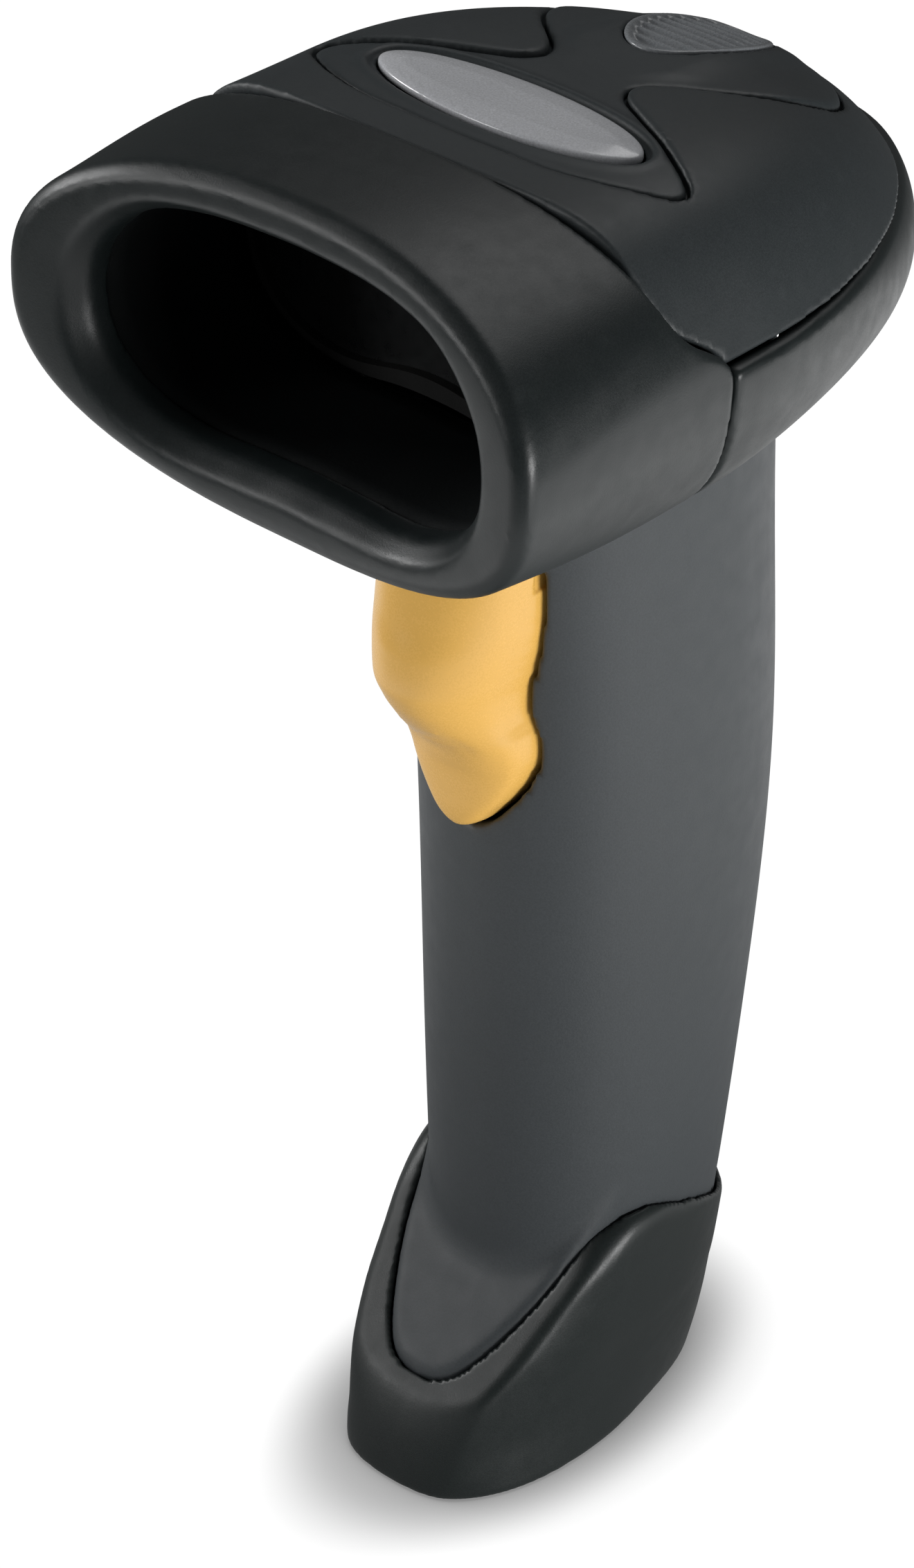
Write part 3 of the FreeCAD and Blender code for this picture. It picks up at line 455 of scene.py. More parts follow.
# ------------------------------------------------------------------ shape of the head
HEAD_DEPTH = 83.94
REAR_START = 32.2                        # y where the head starts to close towards the back
# stations along y, then values
head_half_width = Natural([0, 15, 30, 60], [31.5, 31.5, 31.2, 31.2])
head_middle = Natural([0, 30, 60, 84], [136.1, 137.2, 130.2, 126.0])     # z of the widest line
head_top = Natural([0, 20, 30, 60], [152.0, 152.0, 151.6, 151.6])
head_bottom = Natural([0, 20, 45, 84], [118.9, 114.5, 114.8, 115.2])
UPPER_POWER, LOWER_POWER, REAR_POWER = 2.32, 2.46, 1.72   # superellipse exponents
LEAN = math.tan(math.radians(2.9))       # the nose's front leans back as it rises
LEAN_Z = 135                             # height where the lean adds nothing
NOSE_BOW = 0.00435                       # front falls forward by this times x squared
NOSE_FRONT = 4.3
NOSE_OUT = 0.50                          # how far the front's lip stands out
HALF_GAP = 0.15                          # half of the gap along a seam
GRIP_GAP = 0.25                          # clearance round the grip where it enters the head

# seam behind the nose: z, y
NOSE_SEAM = [(108.0, 33.0), (117.0, 31.0), (123.0, 29.6), (129.0, 28.7), (134.0, 28.5),
             (137.2, 28.2), (138.9, 26.8), (140.7, 24.3), (143.2, 21.9), (146.5, 20.9),
             (150.0, 20.6), (160.0, 20.6)]
nose_seam, = table_curves(Natural, NOSE_SEAM)

# seam under the top cover: height at y = COVER_SEAM_Y and drop per mm towards the back
COVER_SEAM_Z, COVER_SEAM_DROP, COVER_SEAM_Y = 136.9, 0.05, 30


def along_head(block):
    return np.clip(block.y, -5, 84)


def head_section(block, upper_power):
    """Superellipse section of the head, 1 on its skin."""
    y = along_head(block)
    middle = head_middle(y)
    rise = head_top(np.minimum(y, 40)) - middle
    fall = middle - head_bottom(y)
    upper = block.z > middle
    height = np.where(upper, (block.z - middle) / rise, (middle - block.z) / fall)
    power = np.where(upper, upper_power, LOWER_POWER)
    return (np.abs(block.x / head_half_width(y)) ** power + np.abs(height) ** power) ** (1 / power)


def head_field(block):
    section = head_section(block, UPPER_POWER - 0.22 * smoothstep(along_head(block), 36, 66))
    rear = np.maximum(0, block.y - REAR_START) / (HEAD_DEPTH - REAR_START)
    return (section ** REAR_POWER + rear ** REAR_POWER) ** (1 / REAR_POWER) - 1


def nose_field(block):
    """The head's skin, a little fuller at the shoulders of the nose."""
    return head_section(block, UPPER_POWER + 0.20 * smoothstep(along_head(block), 3, 18)) - 1


def before_front(block, offset=0.0):
    """Distance in front of the nose's bowed, leaning front."""
    front = NOSE_FRONT - NOSE_BOW * block.x ** 2 + LEAN * (block.z - LEAN_Z) + offset
    return (front - block.y) / np.sqrt(1 + (2 * NOSE_BOW * block.x) ** 2 + LEAN ** 2)


def before_nose_seam(block, offset):
    """Distance in front of the seam behind the nose."""
    return (nose_seam(block.z) + offset - block.y) / slant(nose_seam, block.z, 0.2)


def cover_seam_height(y):
    return COVER_SEAM_Z - COVER_SEAM_DROP * (y - COVER_SEAM_Y)


def above_cover_seam(block):
    return (block.z - cover_seam_height(block.y)) / math.sqrt(1 + COVER_SEAM_DROP ** 2)


# right half of the mouth from top to bottom: x, z
MOUTH = [(0, 146.8), (6.4, 146.7), (13.2, 146.1), (17.6, 144.8), (21.0, 142.2), (23.2, 138.9),
         (23.9, 135.1), (23.2, 131.0), (20.9, 127.6), (17.3, 125.2), (12.8, 123.9), (8.0, 123.6),
         (4.0, 123.6), (0, 123.7)]
MOUTH_Z = 135.4


def mouth_curve():
    """The mouth's radius by angle about (0, MOUTH_Z), overlapping itself by three points."""
    full = mirrored(MOUTH)
    angle = np.array([math.atan2(z - MOUTH_Z, x) for x, z in full])
    radius = np.array([math.hypot(x, z - MOUTH_Z) for x, z in full])
    order = np.argsort(angle)
    angle, radius = angle[order], radius[order]
    turn = 2 * math.pi
    return Natural(np.concatenate([angle[-3:] - turn, angle, angle[:3] + turn]),
                   np.concatenate([radius[-3:], radius, radius[:3]]))


mouth_radius = mouth_curve()


def mouth_field(block):
    """Positive outside the mouth outline."""
    radius = np.sqrt(block.x ** 2 + (block.z - MOUTH_Z) ** 2)
    return radius - mouth_radius(np.arctan2(block.z - MOUTH_Z, block.x))


# ------------------------------------------------------------------ shape of the grip
# z, half width, half depth, y of the middle
GRIP_STATIONS = [(12, 12.2, 15.0, 43.2), (20, 12.7, 15.75, 43.8), (45, 13.8, 17.95, 45.5),
                 (75, 14.65, 19.45, 46.7), (100, 14.6, 19.8, 45.7), (120, 14.8, 20.2, 44.8)]
grip_half_width, grip_half_depth, grip_middle = table_curves(Natural, GRIP_STATIONS)
GRIP_POWER = 2.25
GRIP_WALL = 1.9
GRIP_TOP = 119.0
SCREW_POSTS = ((24.0, 15.5), (54.0, 12.6))     # y, z of the post's top
PIVOT_Y, PIVOT_Z = 31.0, 110.0                 # trigger pin, which runs across
FOOT_OPENING_Y = 40                            # middle of the openings in the grip's floor and boot

# joint between the grip's front and back: z, y
PARTING = [(18.5, 50.4), (20.6, 52.8), (24.4, 56.2), (30.0, 59.3), (40.0, 61.2), (58.0, 62.6),
           (75.0, 63.1), (98.0, 62.8), (121.0, 62.4)]
parting, = table_curves(Natural, PARTING)

# sloping face of the toe: rise per mm of y, and a point on it
TOE_SLOPE, TOE_Y, TOE_Z = 1.036, 19.4, 11.9
# tongue lying on the toe: y, half width
TONGUE = [(19.4, 0.2), (19.5, 1.5), (19.7, 2.4), (20.2, 3.7), (21.2, 4.9), (22.5, 6.0),
          (24.5, 7.3), (27.2, 8.8), (30.1, 9.9), (32.4, 10.5), (36.0, 11.2)]
tongue_half_width, = table_curves(Monotone, TONGUE)
TONGUE_STEPS = (19.5, 19.7, 20.1, 20.7, 21.5, 22.5, 24, 26, 28, 30, 33, 36)


def grip_distance(block, limit=5.0):
    across = block.x / grip_half_width(block.z)
    deep = (block.y - grip_middle(block.z)) / grip_half_depth(block.z)
    field = (np.abs(across) ** GRIP_POWER + np.abs(deep) ** GRIP_POWER) ** (1 / GRIP_POWER) - 1
    return block.distance(field, limit)


def cut_for_grip(block, body):
    return smooth_max(body, -(grip_distance(block, limit=4.0) - GRIP_GAP), 0.2)


def grip_shell(block, grip):
    return smooth_max(hollow(grip, GRIP_WALL), block.z - GRIP_TOP, 0.4)


def behind_parting(block):
    z = np.maximum(block.z, PARTING[0][0])
    return (block.y - parting(z)) / slant(parting, z, 0.3)


def toe_height(y):
    return TOE_Z + TOE_SLOPE * (y - TOE_Y)


def above_toe(block):
    offset = (block.z - TOE_Z) - TOE_SLOPE * (block.y - TOE_Y)
    return block.full(offset / math.sqrt(1 + TOE_SLOPE * TOE_SLOPE))


def tongue_edge(block):
    """Distance outside the tongue's outline seen from above."""
    start, end = TONGUE[0][0], TONGUE[-1][0]
    half = [(0.0, start), *zip(tongue_half_width(TONGUE_STEPS), TONGUE_STEPS), (0.0, end)]
    return outline_distance(mirrored(half), *block.lattice(0, 1))[:, :, None]


def from_post(block, y):
    return np.sqrt(block.x ** 2 + (block.y - y) ** 2)


def from_pivot(block):
    return np.sqrt((block.y - PIVOT_Y) ** 2 + (block.z - PIVOT_Z) ** 2)


# ------------------------------------------------------------------ shape of the trigger pad
# z, y of the crowned face, half width, y of the side edge
PAD = [(76.0, 25.79, 1.01, 26.64), (77.0, 25.35, 2.66, 26.77), (78.5, 25.04, 3.91, 26.97),
       (80.5, 24.90, 5.35, 27.35), (83.0, 24.65, 6.64, 27.84), (85.0, 23.90, 7.26, 28.10),
       (86.5, 22.99, 7.40, 28.12), (88.0, 21.88, 7.31, 27.99), (89.5, 20.72, 6.93, 27.69),
       (91.0, 19.63, 6.74, 27.50), (93.0, 18.38, 6.84, 27.45), (95.5, 17.43, 7.32, 27.58),
       (98.8, 17.82, 7.88, 27.76), (102.0, 18.65, 8.16, 27.76), (106.0, 19.60, 8.26, 27.57),
       (110.5, 20.64, 8.30, 27.29), (114.5, 21.58, 8.30, 27.0)]
PAD_TIP = 75.75                                # lowest z with any width
pad_face, _, pad_side = table_curves(Monotone, PAD)
pad_half_width = Monotone([PAD_TIP] + [row[0] for row in PAD], [0.02] + [row[2] for row in PAD])
# line of the pinch in the face: start, run and the run's squared length
PINCH_X, PINCH_Z, PINCH_ACROSS, PINCH_UP, PINCH_SQUARE = -5.8, 84.7, 9.1, 3.1, 92.4
PINCH_DEPTH, PINCH_REACH = 0.42, 1.5


def pad_edge(block):
    """Distance outside the pad's outline seen from the front; finer steps round the tip."""
    top = 116.0
    heights = np.concatenate([PAD_TIP + 1.6 * np.linspace(0, 1, 14) ** 2,
                              np.linspace(77.8, top, 60)])
    half = [(0.0, 75.72), *zip(pad_half_width(heights), heights), (0.0, top)]
    return outline_distance(mirrored(half), *block.lattice(0, 2))[:, None, :]


def before_pad(block):
    """Distance in front of the pad's crowned face."""
    x, z = block.axes[0][:, None], block.axes[2][None, :]
    side = pad_side(z)
    across = np.minimum(np.abs(x) / np.maximum(pad_half_width(z), 0.3), 1.0)
    face = side - (side - pad_face(z)) * np.sqrt(np.maximum(1 - across ** 2.2, 0))
    t = np.clip(((x - PINCH_X) * PINCH_ACROSS + (z - PINCH_Z) * PINCH_UP) / PINCH_SQUARE,
                0.0, 1.0)
    square = (x - PINCH_X - PINCH_ACROSS * t) ** 2 + (z - PINCH_Z - PINCH_UP * t) ** 2
    face = face + PINCH_DEPTH * np.exp(-square / PINCH_REACH ** 2) * smoothstep(x, -7.0, -3.0)
    gx, gz = np.gradient(face, block.step)
    steepness = np.minimum(np.sqrt(1 + gx * gx + gz * gz), 6.0)
    return (face[:, None, :] - block.y) / steepness[:, None, :]


# ------------------------------------------------------------------ nose and band
def build_nose():
    wall, rim_depth = 2.0, 4.2
    block = Block((-32.6, -1.2, 112.5), (32.6, 34.5, 153.4), 0.38)
    skin = block.distance(nose_field(block), 9.0)
    mouth = block.distance(mouth_field(block), 12.0)
    depth = -skin
    # the front falls away towards the skin and the mouth, and dips between them
    fall = 0.85 * eased_ramp(1.25 - depth, 0.35) + 1.10 * eased_ramp(1.65 - mouth, 0.45)
    inward, outward = np.maximum(depth, 0), np.maximum(mouth, 0)
    share = inward / np.maximum(inward + outward, 1.0)
    fall = fall + 0.30 * (2 * share - 1.0) ** 2 - NOSE_OUT
    gx, _, gz = np.gradient(block.full(fall), block.step)
    lip = (before_front(block) + fall) / np.sqrt(1 + np.minimum(gx * gx + gz * gz, 2.5))
    body = smooth_max(skin, lip, 0.5)
    body = smooth_max(body, -mouth, 0.5)
    cavity = smooth_max(skin + wall, before_front(block, rim_depth), 1.0)
    body = smooth_max(body, -cavity, 0.4)
    body = smooth_max(body, -before_nose_seam(block, -HALF_GAP), 0.55)
    make_solid("nose", block, cut_for_grip(block, body), NOSE,
               slot="nose_black", replaces="nose_bezel")


def build_band():
    """The lower rear of the head, behind the nose and under the cover."""
    block = Block((-32.4, 19.5, 112.6), (32.4, 85.0, 139.2), 0.42)
    body = hollow(block.distance(head_field(block), 8.0), 2.0)
    body = smooth_max(body, before_nose_seam(block, HALF_GAP), 0.5)
    body = smooth_max(body, above_cover_seam(block) + HALF_GAP, 0.9)
    make_solid("head_band", block, cut_for_grip(block, body), BAND,
               slot="band_black", replaces="rear_band")


# ------------------------------------------------------------------ top cover and its inlays
COVER_HALF_WIDTH, COVER_LENGTH = 30.05, 45.6
COVER_START_Y = 32.6                     # the cover narrows behind this
COVER_PLAN_POWER, COVER_CROWN_POWER = 1.92, 7.4
COVER_WALL = 1.8
cover_rise = Natural([14, 20, 40, 60, 80], [14.2, 13.9, 13.9, 11.6, 7.5])    # by y
# right half of the inlay panel, front to back: x, y
PANEL_HALF = [(0, 25.7), (6, 25.8), (12, 26.1), (17, 27.6), (20.4, 29.6), (21.9, 31.4),
              (21.9, 32.7), (20.6, 34.0), (17.5, 35.9), (13.0, 38.5), (8.7, 40.9), (6.2, 42.7),
              (5.5, 44.2), (6.1, 46.0), (9.0, 48.9), (13.0, 53.0), (14.9, 57.5), (14.8, 62.0),
              (12.9, 65.8), (9.6, 68.7), (5.0, 70.4), (0, 71.0)]
# ovals in the panel: y of the centre, half width, half length
BADGE_OVAL = (33.6, 15.4, 4.7)
LENS_OVAL = (60.3, 5.6, 8.6)
PART_BOTTOM = 1.1                        # badge and lens reach this far below the crown


def closed_spline(half, count):
    """Even points on a closed spline through a mirrored half outline."""
    points = mirrored(half)
    points = np.array(points + points[:1], float)
    run = np.concatenate([[0], np.cumsum(np.hypot(*np.diff(points, axis=0).T))])
    total = run[-1]
    # three points are repeated past each end so the join is smooth
    stations = np.concatenate([run[-4:-1] - total, run, run[1:4] + total])
    points = np.concatenate([points[-4:-1], points, points[1:4]])
    even = np.linspace(0, total, count, endpoint=False)
    return np.stack([Natural(stations, points[:, k])(even) for k in (0, 1)], 1)


def panel_edge(x, y):
    return outline_distance(closed_spline(PANEL_HALF, 240), x, y)


def oval_edge(x, y, oval):
    middle, half_width, half_length = oval
    radius = np.sqrt((x / half_width) ** 2 + ((y - middle) / half_length) ** 2)
    gx = x / half_width ** 2
    gy = (y - middle) / half_length ** 2
    return (radius - 1) * radius / np.maximum(np.sqrt(gx * gx + gy * gy), 1e-4)


def cover_plan(x, y, inset=0.0):
    """1 on the cover's outline seen from above."""
    rear = np.maximum(0, y - COVER_START_Y) / (COVER_LENGTH - inset)
    return ((np.abs(x) / (COVER_HALF_WIDTH - inset)) ** COVER_PLAN_POWER
            + rear ** COVER_PLAN_POWER) ** (1 / COVER_PLAN_POWER)


def crown_height(x, y):
    bulge = 1 - np.minimum(cover_plan(x, y), 1.12) ** COVER_CROWN_POWER
    return cover_seam_height(y) + HALF_GAP + cover_rise(y) * bulge


def panel_height(x, y, crown):
    """The panel's top: sunk in front, raised at the back with a crest at the lens."""
    back = smoothstep(y, 46, 60)
    height = crown - 0.35 * (1 - back) + 0.25 * back
    crest = (np.exp(-np.maximum(0, np.abs(x) - 5.2) ** 2 / 6.0)
             * smoothstep(y, 43, 56) * (1 - smoothstep(y, 66, 72)))
    height = height + 0.75 * crest * smoothstep(-panel_edge(x, y), 0.3, 3.0)
    badge = oval_edge(x, y, BADGE_OVAL)
    height = height + 0.20 * np.exp(-((badge - 1.25) / 0.45) ** 2)      # raised lip round the badge
    # moat between lip and badge
    return height - 0.45 * (1 - smoothstep(np.abs(badge - 0.25), 0.15, 0.75))


def build_cover():
    recess_depth, ledge = 1.25, 1.3
    block = Block((-31.0, 17.6, 133.4), (31.0, 80.0, 152.6), 0.38)
    x, y = block.lattice(0, 1)
    top = block.above(crown_height(x, y))
    body = smooth_max(top, -(above_cover_seam(block) - HALF_GAP), 0.45)
    inner_rim = block.distance(cover_plan(block.x, block.y, COVER_WALL) - 1, 6.0)
    body = smooth_max(body, -np.maximum(top + COVER_WALL, inner_rim), 0.3)
    body = smooth_max(body, before_nose_seam(block, HALF_GAP), 0.35)
    # recess for the panel with a softly rolled edge, open inside a ledge
    panel = panel_edge(x, y)[:, :, None]
    recess = smooth_max(panel, -(top + recess_depth), 0.3)
    body = smooth_max(body, -recess, 0.45)
    body = smooth_max(body, -(panel + ledge), 0.2)
    make_solid("cover", block, body, COVER, slot="cover_grey", replaces="top_cover")


def build_panel():
    thickness, edge_gap, badge_gap, lens_gap = 1.2, 0.28, 0.12, 0.10
    block = Block((-23.2, 24.6, 135.0), (23.2, 72.0, 152.8), 0.30)
    x, y = block.lattice(0, 1)
    crown = crown_height(x, y)
    body = block.slab(panel_height(x, y, crown), crown - thickness, 0.2)
    body = smooth_max(body, panel_edge(x, y)[:, :, None] + edge_gap, 0.55)
    for oval, gap in ((BADGE_OVAL, badge_gap), (LENS_OVAL, lens_gap)):
        body = smooth_max(body, -(oval_edge(x, y, oval)[:, :, None] - gap), 0.15)
    make_solid("cover_inlay", block, body, PANEL, slot="panel_grey", replaces="cover_panel")


def build_badge():
    sunk, dome_rise, dome_reach = 0.30, 0.42, 2.6
    block = Block((-16.4, 27.6, 147.0), (16.4, 39.6, 152.9), 0.16)
    x, y = block.lattice(0, 1)
    crown = crown_height(x, y)
    edge = oval_edge(x, y, BADGE_OVAL)
    dome = dome_rise * np.clip(-edge / dome_reach, 0, 1) ** 0.5
    body = block.slab(crown - sunk + dome, crown - PART_BOTTOM, 0.1)
    body = smooth_max(body, edge[:, :, None], 0.25)
    make_solid("badge", block, body, BADGE, slot="badge_silver", replaces="badge_plate")


def build_lens():
    rib_pitch, rib_height, ribs_sunk = 1.55, 0.22, 0.28
    block = Block((-6.4, 50.6, 139.4), (6.4, 70.0, 150.9), 0.16)
    x, y = block.lattice(0, 1)
    crown = crown_height(x, y)
    edge = oval_edge(x, y, LENS_OVAL)
    ribs = rib_height * np.cos((y - LENS_OVAL[0]) * 2 * math.pi / rib_pitch)
    border = 0.10 * np.exp(-((edge + 0.35) / 0.3) ** 2)
    height = (panel_height(x, y, crown) + 0.05
              + smoothstep(-edge, 0.55, 1.1) * (ribs - ribs_sunk) + border)
    body = block.slab(height, crown - PART_BOTTOM, 0.1)
    body = smooth_max(body, edge[:, :, None], 0.2)
    make_solid("lens", block, body, LENS, slot="lens_smoke", replaces="indicator_lens")


# ------------------------------------------------------------------ grip
def grip_lug(block, grip, side):
    """Square lug for the trigger pin, with a blind bore open towards the middle."""
    lug = overlap(np.abs(block.x - side * 10.0) - 2.0, np.abs(block.y - 31.45) - 2.95,
                  np.abs(block.z - PIVOT_Z) - 3.2)
    bore = overlap(from_pivot(block) - 1.27, np.abs(block.x) - 9.75)
    return overlap(lug, -bore, grip + 0.1)


def build_grip_front():
    bottom, floor_top = 12.0, 13.6
    block = Block((-16.4, 17.6, 3.4), (16.4, 66.8, 120.2), 0.46)
    grip = grip_distance(block)
    shell = smooth_max(grip_shell(block, grip), bottom - block.z, 0.3)
    opening = overlap(np.abs(block.x) - 8.2, np.abs(block.y - FOOT_OPENING_Y) - 6)
    floor = overlap(grip, block.z - floor_top, bottom - block.z, -opening)
    shell = np.minimum(shell, floor)
    toe = above_toe(block)
    tongue = smooth_max(smooth_max(toe - 0.45, -(toe + 1.3), 0.2), tongue_edge(block), 0.8)
    body = smooth_min(shell, overlap(tongue, -(grip + 1.0)), 1.7)
    for y, top in SCREW_POSTS:
        radius = from_post(block, y)
        post = overlap(radius - 2.5, 4.1 - block.z, block.z - top, toe + 0.5)
        body = smooth_min(body, post, 0.3)
        body = overlap(body, -overlap(radius - 1.22, block.z - 12.0))
    before_joint = smooth_max(-behind_parting(block) - HALF_GAP, 18.6 - block.z, 0.1)
    body = smooth_max(body, -(-before_joint), 0.35) if False else smooth_max(
        body, -before_joint, 0.35)
    # trigger opening, wider round the pad's lower part
    clearance = 0.35 + 0.22 * np.exp(-((block.z - 81.5) / 5.0) ** 2)
    opening = overlap(pad_edge(block) - clearance, block.y - 37.0)
    body = smooth_max(body, -opening, 0.45)
    for side in (-1, 1):
        body = np.minimum(body, grip_lug(block, grip, side))
    make_solid("grip_front", block, body, GRIP_FRONT,
               slot="grip_grey", replaces="handle_front_shell")


def build_grip_back():
    block = Block((-13.8, 49.0, 17.8), (13.8, 67.2, 120.0), 0.42)
    body = grip_shell(block, grip_distance(block))
    body = smooth_max(body, 18.75 - block.z, 0.3)
    body = smooth_max(body, -(behind_parting(block) - HALF_GAP), 0.35)
    make_solid("grip_back", block, body, GRIP_BACK,
               slot="grip_grey", replaces="handle_rear_cover")


# ------------------------------------------------------------------ boot
# z, y of the front, y of the back, half width, y of the widest place, exponent in front
BOOT_STATIONS = [(0.0, 14.3, 57.0, 12.75, 33.6, 2.35), (2.5, 14.1, 59.0, 12.7, 34.3, 2.3),
                 (6.0, 14.0, 61.0, 12.7, 35.2, 2.2), (10.0, 14.3, 61.8, 12.9, 35.9, 2.2),
                 (15.0, 16.25, 62.3, 13.5, 36.6, 2.2), (20.0, 20.6, 62.2, 13.9, 36.8, 2.2),
                 (25.0, 25.0, 62.1, 14.1, 36.8, 2.2), (31.0, 30.5, 62.0, 14.2, 36.8, 2.2)]
boot_curves = table_curves(Monotone, BOOT_STATIONS)
BOOT_BACK_POWER = 1.85
# how far the boot's skin lies inside (or, if negative, outside) the grip's skin: z, inset
BOOT_INSET = [(0.4, 1.5), (5.0, 0.5), (9.0, -0.25), (14.0, -0.80), (20.0, -0.90), (34.0, -0.90)]
boot_inset, = table_curves(Monotone, BOOT_INSET)
# top edge: y, z; it follows the toe's slope, then arches over to the back
BOOT_TOP = [(y, toe_height(y)) for y in (-10.0, 5.0, 13.6, 20.0, 27.0, 31.0)] + [
    (34.2, 26.7), (38.3, 28.3), (42.5, 27.8), (46.5, 25.8), (50.5, 22.9), (56.0, 19.9),
    (66.0, 18.0)]
boot_top, = table_curves(Natural, BOOT_TOP)


def boot_hull(block, z):
    """Distance outside the boot's own plan, before it meets the grip."""
    front, back, half_width, widest, front_power = [curve(z) for curve in boot_curves]
    behind = block.y > widest
    power = np.where(behind, BOOT_BACK_POWER, front_power)
    deep = np.where(behind, (block.y - widest) / (back - widest),
                    (widest - block.y) / (widest - front))
    return block.distance((np.abs(block.x / half_width) ** power
                           + np.maximum(deep, 1e-6) ** power) ** (1 / power) - 1, 6.0)


def build_boot():
    block = Block((-17.4, 10.6, -0.8), (17.4, 64.2, 31.6), 0.34)
    z = np.clip(block.z, 0, 31)
    grip = grip_distance(block)
    side = smooth_min(boot_hull(block, z), grip + boot_inset(z), 1.6)
    top = block.full((block.z - boot_top(block.y)) / slant(boot_top, block.y, 0.3))
    # the top edge is rounder at the toe and a little rounder beside the arch
    rounding = (1.0 + 8.0 * (1 - smoothstep(block.y + 0.1 * np.abs(block.x), 14.0, 21.0))
                + 2.0 * smoothstep(block.y, 29.0, 36.0) - 2.3 * smoothstep(block.y, 44.0, 52.0))
    outer = smooth_max(side, top, rounding)
    outer = smooth_max(outer, 0.02 - block.z, 0.8)
    inner = overlap(side + 1.7, top + 1.7, 1.8 - block.z, outer + 1.5)
    body = smooth_max(outer, -inner, 0.3)
    # room for the grip and its tongue
    body = smooth_max(body, -overlap(grip - 0.22, 8.0 - block.z, side + 0.62), 0.3)
    body = smooth_max(body, -overlap(tongue_edge(block) - 0.17, -(above_toe(block) + 1.6)), 0.25)
    opening = overlap(np.abs(block.x) - 6.55, np.abs(block.y - FOOT_OPENING_Y) - 4.3, block.z - 5)
    body = overlap(body, -opening)
    for y, _ in SCREW_POSTS:             # boss, counterbore and hole
        radius = from_post(block, y)
        body = np.minimum(body, overlap(radius - 3.4, block.z - 4.0, 0.6 - block.z))
        body = smooth_max(body, -overlap(radius - 2.35, block.z - 2.3), 0.15)
        body = overlap(body, -overlap(radius - 1.35, block.z - 6.0))
    make_solid("boot", block, body, BOOT, slot="boot_black", replaces="foot_boot")


# ------------------------------------------------------------------ trigger
def trigger_arm(block, side):
    """Flat arm from the pin down and forward into the pad."""
    run_y, run_z = 25.0 - PIVOT_Y, 102.0 - PIVOT_Z
    dy, dz = block.y - PIVOT_Y, block.z - PIVOT_Z
    t = np.clip((dy * run_y + dz * run_z) / (run_y * run_y + run_z * run_z), 0, 1)
    arm = np.sqrt((dy - t * run_y) ** 2 + (dz - t * run_z) ** 2) - 2.75
    return smooth_max(arm, np.abs(block.x - side * 7.0) - 0.8, 0.2)


def build_trigger():
    block = Block((-9.4, 15.6, 74.6), (9.4, 36.4, 115.2), 0.24)
    pad = block.full(smooth_max(pad_edge(block), before_pad(block), 0.9))
    body = hollow(pad, 1.8)
    body = smooth_max(body, block.y - 32.5, 0.5)
    body = smooth_max(body, block.z - 113.9, 0.8)
    notch = overlap(7.8 - np.abs(block.x), 28.2 - block.y, 104.6 - block.z)
    body = smooth_max(body, -notch, 0.3)
    for side in (-1, 1):
        body = np.minimum(body, overlap(trigger_arm(block, side), pad))
    # stem running back from the pad
    stem = smooth_max(overlap(np.abs(block.x) - 2.2, np.abs(block.z - 91.8) - 1.8),
                      overlap(block.y - 35.05, 20.7 - block.y), 0.2)
    body = smooth_min(body, stem, 0.4)
    body = overlap(body, -(from_pivot(block) - 1.30))
    make_solid("trigger_pad", block, body, AMBER, body="trigger",
               slot="trigger_amber", replaces="trigger")


# ------------------------------------------------------------------ throat
LINER_FRONT, LINER_BACK = 8.75, 23.0
BOW_FADE_Y = 9.0                         # the nose's bow fades out from here to the back
# growth beyond the mouth's radius at even steps from front to back
LINER_INNER = [0.33, 0.30, 0.25, 0.1, -0.1, -0.3, -0.5, -0.7]
LINER_OUTER = [1.55, 1.5, 1.45, 1.25, 1.05, 0.85, 0.65, 0.5]


def build_liner():
    """A closed sleeve: rings go back along the inside and forward along the outside."""
    count = 240
    angle = np.linspace(-math.pi, math.pi, count, endpoint=False)
    mouth = mouth_radius(angle)

    def ring(y, growth):
        radius = mouth + growth
        x = radius * np.cos(angle)
        z = MOUTH_Z + radius * np.sin(angle)
        fade = min(1.0, (LINER_BACK - y) / (LINER_BACK - BOW_FADE_Y))
        return np.stack([x, y - NOSE_BOW * x * x * fade + LEAN * (z - LEAN_Z), z], 1)

    steps = np.linspace(LINER_FRONT, LINER_BACK, len(LINER_INNER))
    rings = [ring(y, growth) for y, growth in zip(steps, LINER_INNER)]
    rings += [ring(y, growth) for y, growth in zip(steps[::-1], LINER_OUTER[::-1])]
    here = np.arange(count)
    beside = (here + 1) % count
    quads = []
    for i in range(len(rings)):
        start, after = i * count, (i + 1) % len(rings) * count
        quads.append(np.stack([start + here, start + beside, after + beside, after + here], 1))
    make_object("throat", np.concatenate(rings), np.concatenate(quads), LINER,
                slot="liner_black", replaces="mouth_liner")


for build in (build_nose, build_band, build_cover, build_panel, build_badge, build_lens,
              build_grip_front, build_grip_back, build_boot, build_trigger, build_liner):
    build()

